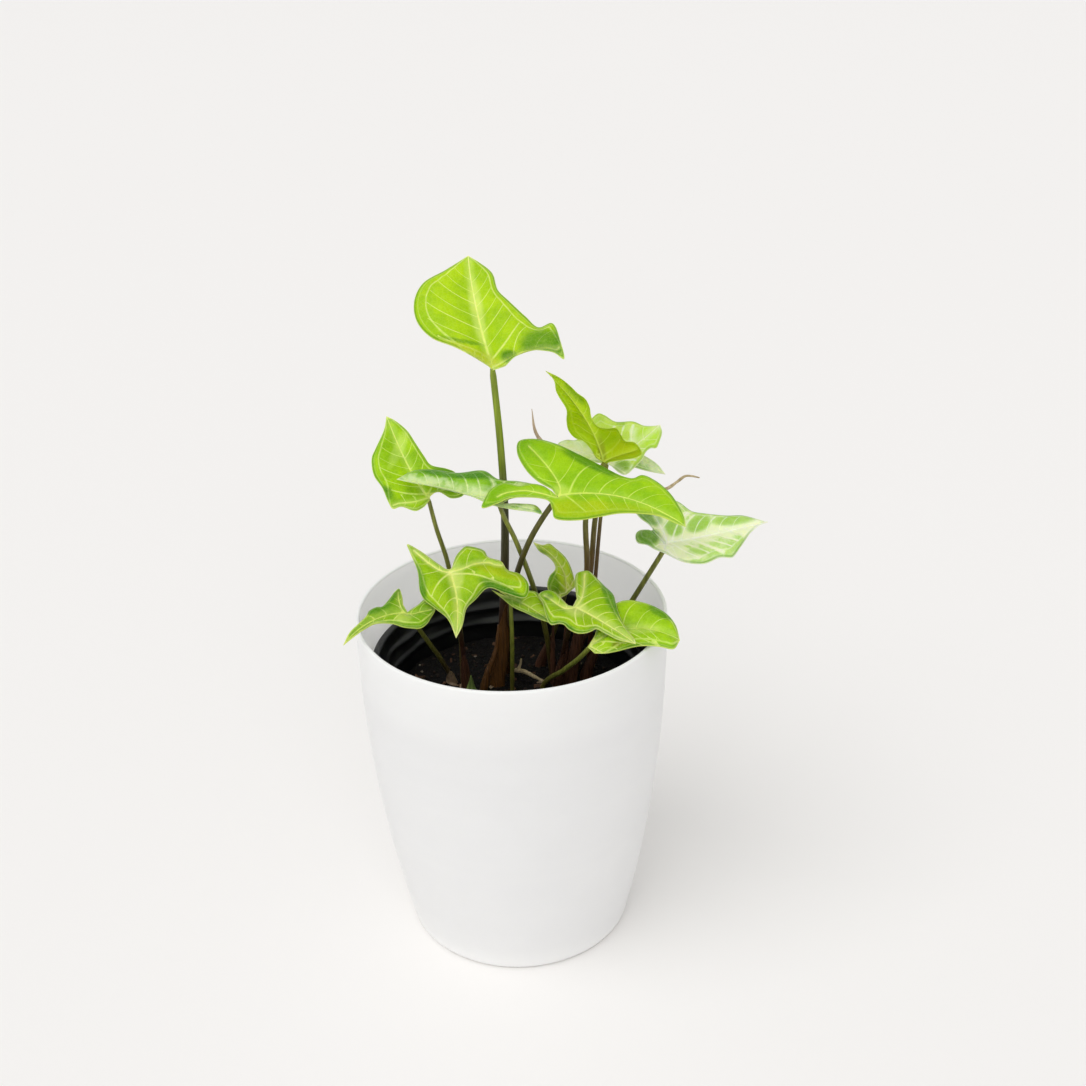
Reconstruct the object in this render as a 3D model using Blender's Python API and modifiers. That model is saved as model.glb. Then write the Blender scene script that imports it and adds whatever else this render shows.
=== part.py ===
"""Potted arrowhead plant.

A plain white cover pot holds a thin black nursery pot full of potting mix. Fourteen leaves stand
in holes in the mix. Each leaf grew as one piece: an arrow-shaped blade on its own stalk.

Sizes are in millimetres and become metres when the meshes are made. The origin is
the middle of the pot's base, +Z is up and the front of the plant faces -Y.
"""

from dataclasses import dataclass
from math import cos, pi, radians, sin

import bmesh
import bpy
import numpy as np
from mathutils import Vector, noise
from mathutils.geometry import delaunay_2d_cdt

MM = 0.001
GAP = 0.3                    # between pieces that rest on each other

# Cover pot
RIM_RADIUS = 75.0
POT_HEIGHT = 176.0
BASE_RADIUS = 56.3
WALL_BOW = 5.3               # how far the wall swells outside a straight cone
POT_WALL = 2.0
POT_FLOOR = 3.0
FOOT_ROUND = 3.0
POT_SIDES = 48

# Nursery pot
NURSERY_TOP = 151.0
NURSERY_RADIUS = 67.0        # wall at the top, without the rolled rim
NURSERY_BASE_RADIUS = 49.0
NURSERY_WALL = 1.2
NURSERY_RIM_WIDTH = 2.2
NURSERY_RIM_DEPTH = 7.0
DRAIN_RADIUS = 5.0
DRAIN_CIRCLE = 30.0
DRAIN_COUNT = 5
NURSERY_SIDES = 40

# Potting mix
SOIL_TOP = 125.0
SOIL_LUMP = 1.6              # height of the lumps
SOIL_LUMP_SPACING = 9.0
SOIL_RINGS = (8.0, 17.5, 27.5, 37.0, 46.5, 56.0)
ROOTED = 18.0                # how deep the stalks stand in the mix

# Leaves
BLADE_THICKNESS = 0.9
MARGIN_SPACING = 3.2         # between points of the margin
GRID_SPACING = 6.5           # between points inside it
FINE_STEPS = 160             # points on a side's margin before they are spread evenly
ABREAST = 0.18               # where a lobe starts, as a share of the rib's length
LOBE_LEAST = 8               # least points on either side of a lobe's end
VEIN_STEPS = 40
VEIN_REACH = 0.8             # how far a lobe's vein runs toward the lobe's end
NOTCH_BACK = 1.2             # from the stalk back to the bottom of the notch
BOW_SPAN = 0.4               # half width, as a share of the rib's length, that bows in full
STALK_STEPS = 10

# The outlines of the blades are drawn as they look from this point, in front and above
EYE = np.array((15.9, -631.0, 532.5))
LOOK_DOWN = radians(27.0)
HEAD_TILT = radians(-1.28)
LOOK = np.array((0.0, cos(LOOK_DOWN), -sin(LOOK_DOWN)))
LOOK_UP = np.array((0.0, sin(LOOK_DOWN), cos(LOOK_DOWN)))
ACROSS = cos(HEAD_TILT) * np.array((1.0, 0.0, 0.0)) + sin(HEAD_TILT) * LOOK_UP
UPWARD = cos(HEAD_TILT) * LOOK_UP - sin(HEAD_TILT) * np.array((1.0, 0.0, 0.0))


@dataclass(frozen=True)
class Leaf:
    """One leaf: a blade on its stalk.

    base: where the stalk meets the blade.
    face: heading and rise of the upper face's normal, in degrees.
    tip, rib, left, right: points across and upward from the base as seen from EYE, each with an
        optional shift toward the eye. The rib point is where the rib passes half way. Left and
        right run from the tip round each side of the blade to the notch at the stalk.
    stalk: points from the mix up to the blade.
    radii: the stalk's radius at the mix and at the blade.
    arch: how far the halves bow up between the rib and the margin.
    fold: how far each half is tilted up from the rib, in degrees.
    twig: points of a dry shoot on the stalk, if there is one.
    """

    name: str
    base: tuple
    face: tuple
    tip: tuple
    rib: tuple
    left: tuple
    right: tuple
    stalk: tuple
    radii: tuple
    arch: float = 3.0
    fold: float = 6.0
    pale: bool = False
    twig: tuple = ()


LEAVES = (
    Leaf(
        name="leaf_top",
        base=(-5.3, 12, 294.5), face=(-95, 48), tip=(-11, 51), rib=(-7.5, 28),
        left=((-21, 44.7), (-31.5, 38.5), (-35.5, 30.5), (-34.5, 21.5), (-28, 14, 2),
              (-17, 9.5, 6), (-10, 6, 7), (-5, 3.5, 6), (-2, 1, 3)),
        right=((-6, 48), (0, 43), (2.5, 35.5), (7.5, 30.5), (15, 23.5), (21, 18.5), (27, 20.5, 1),
               (31, 12, 4), (32.5, 4, 7), (28, 7, 6), (23, 8, 6), (16, 8, 5), (10, 5, 6),
               (6, 1, 4)),
        stalk=((-9, 13, 125), (-6, 13, 142), (-4.5, 13, 163), (-3, 13, 190), (-2, 13, 223),
               (-3, 13, 258)),
        radii=(3.2, 1.5)),
    Leaf(
        name="leaf_upper_left",
        base=(-38, 14, 229), face=(-80, 42), tip=(-20, 39), rib=(-10, 16),
        left=((-21, 33), (-25, 24), (-27, 19), (-26, 11), (-22, 5), (-19, -2), (-17, -5),
              (-13, -4), (-6, -6), (-2, -4)),
        right=((-16, 37), (-10, 32), (-6, 26), (-2, 20), (1, 16), (9, 14, -3), (13, 12, -5),
               (17, 2, -5), (11, 0, -3), (5, 3), (1, 2)),
        stalk=((-26, 16, 125), (-26, 16, 151), (-28, 16, 174), (-31, 15, 196), (-35, 14, 213)),
        radii=(1.8, 1.1), arch=2.0, fold=8.0),
    Leaf(
        name="leaf_pale_left",
        base=(-4, -8, 236), face=(-95, 72), tip=(-47, 11), rib=(-24, 6.5),
        left=((-40, 9.5, 1), (-31, 8, 2), (-22, 6, 3), (-12, 3, 3), (-4, -0.5, 2),
              (2, -2, 1), (8, -3), (16, -4), (20, -5), (17, -1), (8, 0)),
        right=((-39, 15), (-31, 15.5), (-19, 14), (-7, 15), (0, 11), (10, 10), (17, 8),
               (12, 4), (5, 2)),
        stalk=((19, 20, 125), (16, 10, 159), (11, 2, 186), (3, -4, 215), (-2, -7, 229)),
        radii=(1.7, 1.1), fold=0.0, pale=True),
    Leaf(
        name="leaf_centre",
        base=(23.5, -12, 241), face=(-90, 68), tip=(58, -14), rib=(30, -1),
        left=((57, -9), (51, 1), (44, 7), (38, 9.5), (34, 8), (29, 9), (19, 14), (9, 19),
              (-2, 24), (-11, 26), (-18, 25), (-19, 20), (-15, 12), (-10, 7), (-3, 3)),
        right=((54, -12.7), (48, -10, -2), (42, -8.5, -3), (28, -8, -3), (19, -9.5, -3),
               (10, -11, -3), (1, -11, -2), (-2, -10), (-3, -6), (-5, -2), (-22, -1), (-28, -3.5),
               (-35, -5.5), (-33, 0), (-31, 3), (-25, 6), (-18, 4.5), (-12, 5.5), (-7, 4.5),
               (-3, 2)),
        stalk=((-2, 24, 125), (-1, 16, 150), (-0.5, 5, 173), (3, -2, 195), (10, -8, 217),
               (17, -11, 231)),
        radii=(2.0, 1.3), fold=0.0),
    Leaf(
        name="leaf_upright",
        base=(46, 25, 241), face=(60, 15), tip=(-28, 43.5), rib=(-9.5, 22, -1),
        left=((-21, 40), (-16, 36, -1), (-13, 33, -2), (-9, 30, -2), (-7, 26, -2),
              (-6, 21, -2), (-3, 17, -1), (1, 16, -1), (6, 16), (8, 13), (10, 10), (14, 9.5),
              (16, 8), (18, 4), (15, 2), (9, 1), (3, 0)),
        right=((-24, 39), (-23, 34), (-21.5, 31), (-18, 25), (-18, 20), (-17, 15), (-14, 11.5),
               (-10, 10), (-7, 7), (-4, 2)),
        stalk=((28, 13, 125), (32, 13, 150), (37, 14, 187), (37, 19, 216), (41, 22, 228)),
        radii=(2.0, 1.2), arch=4.0, fold=4.0,
        twig=((37, 17, 203), (25, 26, 234), (14, 30, 254), (12, 30, 267))),
    Leaf(
        name="leaf_pale_back",
        base=(48, 40, 234), face=(-90, 55), tip=(26, 18.5), rib=(14, 8.5),
        left=((24, 18), (18, 18), (13, 20), (4, 20), (-1, 23), (-4, 24), (-7, 22), (-12, 15),
              (-15, 11), (-20, 11), (-24, 9), (-22, 5), (-13, 1), (-5, 0)),
        right=((27, 15), (26, 11), (24, 7), (21.5, 7), (19, 5), (17.5, 2), (13, -3), (9, -6),
               (6, -5), (2, -1.5)),
        stalk=((30, 27, 125), (34, 26, 150), (39, 24, 182), (42, 29, 211), (45, 34, 222)),
        radii=(2.0, 1.2), arch=2.0, fold=4.0, pale=True,
        twig=((42, 27, 204), (59, 30, 215), (77, 34, 222), (82, 35, 225), (86, 35, 228),
              (89, 35, 228), (93, 35, 227))),
    Leaf(
        name="leaf_pale_right",
        base=(75, 5, 207), face=(-90, 68), tip=(48, 10), rib=(20, 3.5),
        left=((44, 11), (36, 13), (28, 13), (18, 14), (12, 15), (4, 20), (-4, 18), (-11, 17),
              (-15, 15), (-13, 12), (-9, 9), (-7, 7)),
        right=((44, 8.5), (40, 5), (35, -2), (31, -7), (29, -7), (25, -7), (20.5, -9),
               (17, -10), (9.5, -9.5), (5, -8), (-1, -5), (-6, -3), (-9.5, -1), (-14, 0),
               (-15, 4), (-13, 6), (-8, 6), (-5, 4)),
        stalk=((36, 18, 125), (41, 17, 139), (49, 14, 154), (58, 11, 171), (65, 9, 185),
               (73, 7, 201)),
        radii=(1.8, 1.2), pale=True),
    Leaf(
        name="leaf_over_rim_left",
        base=(-49, -22, 187), face=(-90, 72), tip=(-29, -15), rib=(-16, -4),
        left=((-24, -11), (-19, -7.5), (-14, -5), (-6, -5), (-1, -6.5), (3, -7), (7, -7),
              (10, -5), (12, -2), (14, 2), (11.5, 5), (9, 6.5), (6, 4), (3, 2)),
        right=((-26, -9), (-22, -5), (-18, -1), (-17, 1), (-13, 3), (-11, 3), (-8, 6), (-5, 10),
               (-3, 11.5), (-1.5, 8), (-1, 4)),
        stalk=((-32, 16, 125), (-35, 4, 144), (-40, -9, 163), (-44, -17, 176)),
        radii=(1.5, 1.0), fold=8.0),
    Leaf(
        name="leaf_front_left",
        base=(-28, -12, 203), face=(-90, 50), tip=(3, -31), rib=(3.5, -14),
        left=((6, -25), (8, -17), (12, -13), (18, -7.5), (26, -10), (35.5, -12), (37, -6),
              (33, -1), (27, 1), (24, 5), (18, 7), (16, 10), (7.5, 12), (6, 11), (3, 7.5),
              (1, 2)),
        right=((-1, -22), (-7, -17), (-12, -13), (-14, -9), (-15, 0), (-19, 10), (-20, 13),
               (-14, 10), (-7, 5), (-2, 1.5)),
        stalk=((-24, 9, 125), (-25, 3, 156), (-27, -3, 181)),
        radii=(1.7, 1.0)),
    Leaf(
        name="leaf_front_small",
        base=(0, -10, 187), face=(-90, 65), tip=(20, -12), rib=(10, -5),
        left=((18, -6), (15.5, -1.5), (12, 3), (6, 4), (-2, 6), (-8.5, 7), (-5, 3)),
        right=((14, -10), (7.5, -7), (1, -4), (-4, 0), (-9, 4)),
        stalk=((-1, 6, 125), (0, -6, 163)),
        radii=(1.4, 1.0), arch=2.0, fold=5.0),
    Leaf(
        name="leaf_front_right",
        base=(30, -21, 187.5), face=(-90, 78), tip=(28.5, -17), rib=(13, -7),
        left=((28, -15), (25, -11), (22, -6), (20, -1), (18, 6), (14, 10), (10, 14), (6.5, 17),
              (4, 17), (1, 16), (0, 12), (0.5, 7.5), (1, 4)),
        right=((20, -15), (16, -13), (14, -12), (10, -10), (8, -11), (5, -12), (1, -12),
               (-3, -10), (-5, -8), (-7, -7.5), (-11, -8), (-14, -2), (-15, 2), (-17, 6),
               (-13, 8), (-9, 7), (-6, 4), (-3, 1)),
        stalk=((22, 9, 125), (25, 0, 152), (28, -12, 173)),
        radii=(1.7, 1.1), fold=5.0),
    Leaf(
        name="leaf_over_rim_right",
        base=(36.5, -41, 178), face=(-90, 80), tip=(41, 3), rib=(19, 8),
        left=((39, 10), (35, 15), (30, 18), (24, 20), (18, 21), (12, 20), (7, 16), (4, 11),
              (2, 5)),
        right=((38, -1), (32, 0), (26, 0.5), (20.5, 0), (12.5, -2), (7, -3), (2, -3)),
        stalk=((14, 8, 125), (25, -15, 150), (32, -32, 167)),
        radii=(1.5, 1.1), arch=4.0, fold=5.0),
    Leaf(
        name="leaf_inner_small",
        base=(26.5, 18, 174), face=(-60, 30), tip=(-16, 25), rib=(-3, 14),
        left=((-13, 20.5), (-9, 18), (-6, 15), (-5, 12), (-8, 8), (-9, 3), (-7, -1), (-3, -3)),
        right=((-11.5, 23.6), (-8, 24.2), (-5, 22), (-1, 18.5), (1.5, 15), (4, 8), (5, 3)),
        stalk=((13, 29, 125), (20, 25, 146), (24, 21, 162)),
        radii=(1.4, 1.0), arch=2.0, fold=5.0),
    Leaf(
        name="leaf_young",
        base=(50, 57, 232), face=(-80, 60), tip=(28, -11), rib=(14, -3.5),
        left=((24, -6), (16, -1), (8, 2), (2, 2)),
        right=((22, -10), (14, -8), (7, -5), (1, -3)),
        stalk=((38, 31, 125), (41, 36, 160), (45, 46, 200), (48, 54, 222)),
        radii=(1.4, 0.9), arch=1.0, fold=10.0, pale=True),
)

TWIG_RADII = (0.9, 0.45)


def clear_scene():
    for item in list(bpy.data.objects):
        bpy.data.objects.remove(item)


def make_collection(name):
    group = bpy.data.collections.new(name)
    bpy.context.scene.collection.children.link(group)
    return group


def make_material(name, colour, roughness, metallic=0.0):
    finish = bpy.data.materials.new(name)
    finish.use_nodes = True
    shader = finish.node_tree.nodes["Principled BSDF"]
    shader.inputs["Base Color"].default_value = (*colour, 1.0)
    shader.inputs["Roughness"].default_value = roughness
    shader.inputs["Metallic"].default_value = metallic
    return finish


def add_object(name, data, group, finish=None):
    item = bpy.data.objects.new(name, data)
    group.objects.link(item)
    if finish is not None:
        data.materials.append(finish)
    return item


def evaluated_mesh(item):
    """The object's mesh with its modifiers, caps welded."""
    bpy.context.view_layer.update()
    graph = bpy.context.evaluated_depsgraph_get()
    mesh = bpy.data.meshes.new_from_object(item.evaluated_get(graph))
    shape = bmesh.new()
    shape.from_mesh(mesh)
    bmesh.ops.remove_doubles(shape, verts=shape.verts, dist=0.01 * MM)
    shape.to_mesh(mesh)
    shape.free()
    return mesh


def turned(name, profile, sides, group, finish=None):
    """A turned solid from (radius, height) points, down the outer side."""
    mesh = bpy.data.meshes.new(name)
    points = [(radius * MM, 0.0, height * MM) for radius, height in profile]
    edges = [(i, i + 1) for i in range(len(points) - 1)]
    mesh.from_pydata(points, edges, [])
    item = add_object(name, mesh, group, finish)
    screw = item.modifiers.new("Turn", "SCREW")
    screw.angle = 2 * pi
    screw.steps = sides
    screw.render_steps = sides
    screw.use_merge_vertices = True
    screw.merge_threshold = 0.00001
    screw.use_smooth_shade = True
    return item


def smooth_line(points, count):
    """Evenly spread points on a centripetal Catmull-Rom curve through the given rows."""
    rows = np.asarray(points, float)
    ends = np.vstack([2 * rows[0] - rows[1], rows, 2 * rows[-1] - rows[-2]])
    steps = np.linalg.norm(np.diff(rows, axis=0), axis=1) ** 0.5
    knots = np.concatenate([[-steps[0], 0.0], np.cumsum(steps)])
    knots = np.append(knots, knots[-1] + steps[-1])
    line = []
    for t in np.linspace(0.0, knots[-2], count + 1):
        i = int(np.clip(np.searchsorted(knots, t, side="right") - 2, 0, len(rows) - 2))
        p = ends[i:i + 4]
        k = knots[i:i + 4]
        a = [p[j] + (p[j + 1] - p[j]) * (t - k[j]) / (k[j + 1] - k[j]) for j in range(3)]
        b = [a[j] + (a[j + 1] - a[j]) * (t - k[j]) / (k[j + 2] - k[j]) for j in range(2)]
        line.append(b[0] + (b[1] - b[0]) * (t - k[1]) / (k[2] - k[1]))
    return np.array(line)


def seen_at(base, point, normal):
    """The point of the plane through base that is seen at (across, upward), shifted to the eye."""
    target = base + point[0] * ACROSS + point[1] * UPWARD
    reach = ((base - EYE) @ normal) / ((target - EYE) @ normal)
    place = EYE + reach * (target - EYE)
    shift = point[2] if len(point) > 2 else 0.0
    toward = EYE - place
    return place + toward / np.linalg.norm(toward) * shift


def along(points, steps):
    """Points spread evenly by length along a dense line."""
    steps_run = np.linalg.norm(np.diff(points, axis=0), axis=1)
    runs = np.concatenate([[0.0], np.cumsum(steps_run)])
    wanted = np.linspace(0.0, runs[-1], steps + 1)
    return np.stack([np.interp(wanted, runs, column) for column in points.T], axis=1)


def blade_axes(leaf):
    """The stalk's end and the blade's axes, as rows: to the tip, to its left, off its face."""
    base = np.array(leaf.base, float)
    heading, rise = (radians(angle) for angle in leaf.face)
    normal = np.array((cos(rise) * cos(heading), cos(rise) * sin(heading), sin(rise)))
    forward = seen_at(base, leaf.tip, normal) - base
    forward /= np.linalg.norm(forward)
    return base, np.array((forward, np.cross(normal, forward), normal))


def lobe_vein(line):
    """A lobe's own vein, from the stalk out between its outer and inner margins."""
    last = len(line) - LOBE_LEAST
    near = np.nonzero(line[:last, 0] < ABREAST * line[0, 0])[0]
    abreast = near[0] if len(near) else last - LOBE_LEAST
    lobe_end = abreast + int(np.argmax(np.linalg.norm(line[abreast:last, :2], axis=1)))
    lobe_end = max(lobe_end, abreast + LOBE_LEAST)
    outer = along(line[abreast:lobe_end + 1], VEIN_STEPS)
    inner = along(line[lobe_end:], VEIN_STEPS)[::-1]
    pull = np.linspace(1.0, 0.0, VEIN_STEPS + 1)[:, None] ** 2
    vein = (1 - pull) * (outer + inner) / 2
    return vein[:int(VEIN_REACH * VEIN_STEPS) + 1]


def blade_lines(leaf, spacing):
    """The margin all round, and the rib and the two lobe veins, in the blade's own axes."""
    base, axes = blade_axes(leaf)
    tip = seen_at(base, leaf.tip, axes[2])
    sides = []
    lobe_veins = []
    for outline, side in ((leaf.left, 1), (leaf.right, -1)):
        fold = radians(leaf.fold) * side
        tilted = cos(fold) * axes[2] - sin(fold) * axes[1]
        rows = [tip] + [seen_at(base, point, tilted) for point in outline]
        line = (smooth_line(rows, FINE_STEPS) - base) @ axes.T
        run = np.linalg.norm(np.diff(line, axis=0), axis=1).sum()
        sides.append(along(line, round(run / spacing)))
        lobe_veins.append(lobe_vein(line))
    notch = np.array(((-NOTCH_BACK, 0.0, 0.0),))
    margin = np.vstack([sides[0], notch, sides[1][:0:-1]])
    end = (tip - base) @ axes.T
    bend = 2 * (seen_at(base, leaf.rib, axes[2]) - base) @ axes.T - end / 2
    shares = np.linspace(0.0, 1.0, max(4, round(end[0] / spacing)) + 1)[:, None]
    rib = 2 * shares * (1 - shares) * bend + shares ** 2 * end
    return margin, rib, lobe_veins


def distances(spots, line):
    """Each spot's distance in the flat from a line of points."""
    starts = line[:-1, :2]
    steps = np.diff(line[:, :2], axis=0)
    out = spots[:, None] - starts[None]
    shares = np.clip((out * steps).sum(axis=2) / (steps ** 2).sum(axis=1), 0.0, 1.0)
    return np.linalg.norm(out - shares[..., None] * steps, axis=2).min(axis=1)


def is_inside(spots, ring):
    """Whether each spot lies within the closed ring."""
    crossed = np.zeros(len(spots), bool)
    for start, end in zip(ring[:, :2], np.roll(ring[:, :2], -1, axis=0)):
        level = (start[1] > spots[:, 1]) != (end[1] > spots[:, 1])
        rise = np.where(level, end[1] - start[1], 1.0)
        side = start[0] + (end[0] - start[0]) * (spots[:, 1] - start[1]) / rise
        crossed ^= level & (spots[:, 0] < side)
    return crossed


def grid_inside(margin, rib, spacing):
    """Spots of a triangular grid within the margin, clear of the margin and the rib."""
    low = margin[:, :2].min(axis=0)
    high = margin[:, :2].max(axis=0)
    rows = []
    for i, left in enumerate(np.arange(low[1], high[1], spacing * sin(pi / 3))):
        ahead = np.arange(low[0] + (i % 2) * spacing / 2, high[0], spacing)
        rows.append(np.stack([ahead, np.full_like(ahead, left)], axis=1))
    spots = np.vstack(rows)
    clear = np.minimum(distances(spots, np.vstack([margin, margin[:1]])), distances(spots, rib))
    return spots[is_inside(spots, margin) & (clear > spacing / 2)]


def blade_heights(spots, margin, veins, arch):
    """Heights over the blade's plane: those of the margin and the veins, with a bow between."""
    anchors = np.vstack([margin, *veins])
    apart = np.linalg.norm(spots[:, None] - anchors[None, :, :2], axis=2)
    weights = (apart ** 2 + 0.01) ** -1.5
    level = weights @ anchors[:, 2] / weights.sum(axis=1)
    to_vein = np.min([distances(spots, vein) for vein in veins], axis=0)
    to_margin = distances(spots, np.vstack([margin, margin[:1]]))
    width = to_vein + to_margin + 0.01
    fullness = np.minimum(1.0, width / (BOW_SPAN * margin[0, 0]))
    return level + 4 * arch * fullness * to_vein * to_margin / width ** 2


def blade_mesh(leaf, margin_spacing, grid_spacing):
    """The blade as a sheet of triangles within its margin, split along its rib."""
    base, axes = blade_axes(leaf)
    margin, rib, lobe_veins = blade_lines(leaf, margin_spacing)
    spots = np.vstack([margin[:, :2], rib[:-1, :2], grid_inside(margin, rib, grid_spacing)])
    first = len(margin)
    creases = [(i, i + 1) for i in range(first, first + len(rib) - 2)]
    corners, _, faces, *_ = delaunay_2d_cdt(
        [Vector(spot) for spot in spots], creases, [list(range(first))], 1, 0.001)
    spots = np.array([tuple(corner) for corner in corners])
    heights = blade_heights(spots, margin, [rib, *lobe_veins], leaf.arch)
    places = base + np.column_stack([spots, heights]) @ axes
    mesh = bpy.data.meshes.new(leaf.name)
    mesh.from_pydata([tuple(place * MM) for place in places], [], faces)
    return mesh


def thicken(mesh, normal):
    """Extrude the open blade one way all over, so that its two faces can't cross."""
    shape = bmesh.new()
    shape.from_mesh(mesh)
    step = Vector(normal) * BLADE_THICKNESS * MM
    bmesh.ops.translate(shape, verts=shape.verts, vec=step * -0.5)
    pushed = bmesh.ops.extrude_face_region(shape, geom=shape.faces[:], use_keep_orig=True)
    upper = [piece for piece in pushed["geom"] if isinstance(piece, bmesh.types.BMVert)]
    bmesh.ops.translate(shape, verts=upper, vec=step)
    bmesh.ops.triangulate(shape, faces=shape.faces)
    bmesh.ops.recalc_face_normals(shape, faces=shape.faces)
    shape.to_mesh(mesh)
    shape.free()


def tube(name, line, radii, group):
    """A round rod through the given points, with a radius at each, as a closed mesh object."""
    data = bpy.data.curves.new(name, "CURVE")
    data.dimensions = "3D"
    data.bevel_depth = MM
    data.bevel_resolution = 1
    data.use_fill_caps = True
    spline = data.splines.new("POLY")
    spline.points.add(len(line) - 1)
    for point, place, radius in zip(spline.points, line, radii):
        point.co = (*(place * MM), 1.0)
        point.radius = radius
    rod = add_object(name, data, group)
    mesh = evaluated_mesh(rod)
    bpy.data.objects.remove(rod)
    return add_object(name, mesh, group)


def tapering(radii, count):
    """Radii from the first to the second, thinning fastest near the first."""
    shares = np.linspace(0.0, 1.0, count) ** 0.6
    return radii[0] + (radii[1] - radii[0]) * shares


def stalk_line(leaf):
    """Points along the stalk, from its rooted end to the blade."""
    foot = np.array(leaf.stalk[0], float)
    rooted = foot - np.array((0.0, 0.0, ROOTED))
    return smooth_line([rooted, *leaf.stalk, leaf.base], STALK_STEPS)


def boolean(item, other, operation):
    """Join or cut item with other, for good, and remove other."""
    step = item.modifiers.new("Join", "BOOLEAN")
    step.operation = operation
    step.solver = "EXACT"
    step.object = other
    mesh = evaluated_mesh(item)
    item.modifiers.clear()
    item.data = mesh
    bpy.data.objects.remove(other)


def make_leaf(leaf, group, cutters, finish):
    """The blade and its stalk as one solid, and the cutter for its hole in the mix."""
    mesh = blade_mesh(leaf, MARGIN_SPACING, GRID_SPACING)
    thicken(mesh, blade_axes(leaf)[1][2])
    blade = add_object(leaf.name, mesh, group, finish)
    line = stalk_line(leaf)
    radii = tapering(leaf.radii, len(line))
    boolean(blade, tube(leaf.name + "_stalk", line, radii, group), "UNION")
    if leaf.twig:
        twig = smooth_line(leaf.twig, STALK_STEPS)
        twig_radii = tapering(TWIG_RADII, len(twig))
        boolean(blade, tube(leaf.name + "_twig", twig, twig_radii, group), "UNION")
    buried = int(np.searchsorted(line[:, 2], SOIL_TOP + SOIL_LUMP)) + 1
    bore = line[:buried].copy()
    bore[0] -= 2 * GAP * (bore[1] - bore[0]) / np.linalg.norm(bore[1] - bore[0])
    hole = tube(leaf.name + "_hole", bore, radii[:buried] + 2 * GAP, cutters)
    hole.hide_render = True
    hole.display_type = "WIRE"
    return hole


def pot_radius(height):
    """The cover pot's outer radius at a height: a cone with a slight bow."""
    t = height / POT_HEIGHT
    return BASE_RADIUS + (RIM_RADIUS - BASE_RADIUS) * t + 4 * WALL_BOW * t * (1 - t)


def arc(centre, radius, start, end, count):
    """Points on an arc, in degrees, as (radius, height) pairs."""
    turns = [radians(start + (end - start) * i / count) for i in range(count + 1)]
    return [(centre[0] + radius * cos(a), centre[1] + radius * sin(a)) for a in turns]


def make_cover_pot(group, finish):
    lip = POT_WALL / 2
    top = POT_HEIGHT - lip
    inner = [(pot_radius(z) - POT_WALL, z) for z in (12.0, 60.0, 110.0, 150.0)]
    outer = [(pot_radius(z), z) for z in (150.0, 120.0, 90.0, 60.0, 30.0, 12.0)]
    foot_edge = pot_radius(FOOT_ROUND)
    profile = [(0.0, POT_FLOOR), (BASE_RADIUS - POT_WALL - 4.0, POT_FLOOR),
               (BASE_RADIUS - POT_WALL - 0.5, POT_FLOOR + 2.5)]
    profile += inner
    profile += arc((pot_radius(top) - lip, top), lip, 180, 0, 4)
    profile += outer
    profile += arc((foot_edge - FOOT_ROUND, FOOT_ROUND), FOOT_ROUND, 0, -90, 3)
    profile += [(0.0, 0.0)]
    return turned("cover_pot", profile, POT_SIDES, group, finish)


def nursery_inner_radius(height):
    """The nursery pot's inner radius at a height."""
    floor = POT_FLOOR + GAP
    t = (height - floor) / (NURSERY_TOP - floor)
    return NURSERY_BASE_RADIUS + (NURSERY_RADIUS - NURSERY_BASE_RADIUS) * t - NURSERY_WALL


def make_nursery_pot(group, cutters, finish):
    """A thin pot with a rolled rim and drain holes, standing on the cover pot's floor."""
    floor = POT_FLOOR + GAP
    inside = floor + NURSERY_WALL
    under_rim = NURSERY_TOP - NURSERY_RIM_DEPTH
    rim = NURSERY_RADIUS + NURSERY_RIM_WIDTH
    profile = [(0.0, inside), (nursery_inner_radius(inside), inside),
               (nursery_inner_radius(NURSERY_TOP), NURSERY_TOP - 0.6),
               (NURSERY_RADIUS - NURSERY_WALL + 0.6, NURSERY_TOP),
               (rim - 0.7, NURSERY_TOP), (rim, NURSERY_TOP - 0.7), (rim, under_rim),
               (nursery_inner_radius(under_rim) + NURSERY_WALL, under_rim),
               (NURSERY_BASE_RADIUS, floor), (0.0, floor)]
    pot = turned("nursery_pot", profile, NURSERY_SIDES, group, finish)
    for i in range(DRAIN_COUNT):
        turn = 2 * pi * i / DRAIN_COUNT
        bpy.ops.mesh.primitive_cylinder_add(
            vertices=12, radius=DRAIN_RADIUS * MM, depth=8 * MM,
            location=(DRAIN_CIRCLE * MM * cos(turn), DRAIN_CIRCLE * MM * sin(turn), inside * MM))
        drain = bpy.context.object
        drain.name = f"drain_hole_{i + 1}"
        drain.hide_render = True
        drain.display_type = "WIRE"
        for owner in list(drain.users_collection):
            owner.objects.unlink(drain)
        cutters.objects.link(drain)
        cut = pot.modifiers.new(f"Drain {i + 1}", "BOOLEAN")
        cut.operation = "DIFFERENCE"
        cut.solver = "EXACT"
        cut.object = drain
    return pot


def make_potting_mix(group, finish, holes):
    """The mix fills the nursery pot, with a lumpy top and a hole for each stalk."""
    bottom = POT_FLOOR + 2 * GAP + NURSERY_WALL
    edge = nursery_inner_radius(SOIL_TOP) - 2 * GAP
    profile = [(0.0, SOIL_TOP)] + [(radius, SOIL_TOP) for radius in SOIL_RINGS]
    profile += [(edge, SOIL_TOP - 1.5), (nursery_inner_radius(bottom) - 2 * GAP, bottom),
                (0.0, bottom)]
    item = turned("potting_mix", profile, NURSERY_SIDES, group, finish)
    mesh = evaluated_mesh(item)
    item.modifiers.clear()
    item.data = mesh
    for vertex in mesh.vertices:
        if vertex.co.z > (SOIL_TOP - 1.0) * MM:
            spot = Vector((vertex.co.x, vertex.co.y, 0.0)) / (SOIL_LUMP_SPACING * MM)
            vertex.co.z += noise.noise(spot) * SOIL_LUMP * MM
    for hole in holes:
        boolean(item, hole, "DIFFERENCE")
    return item


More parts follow.
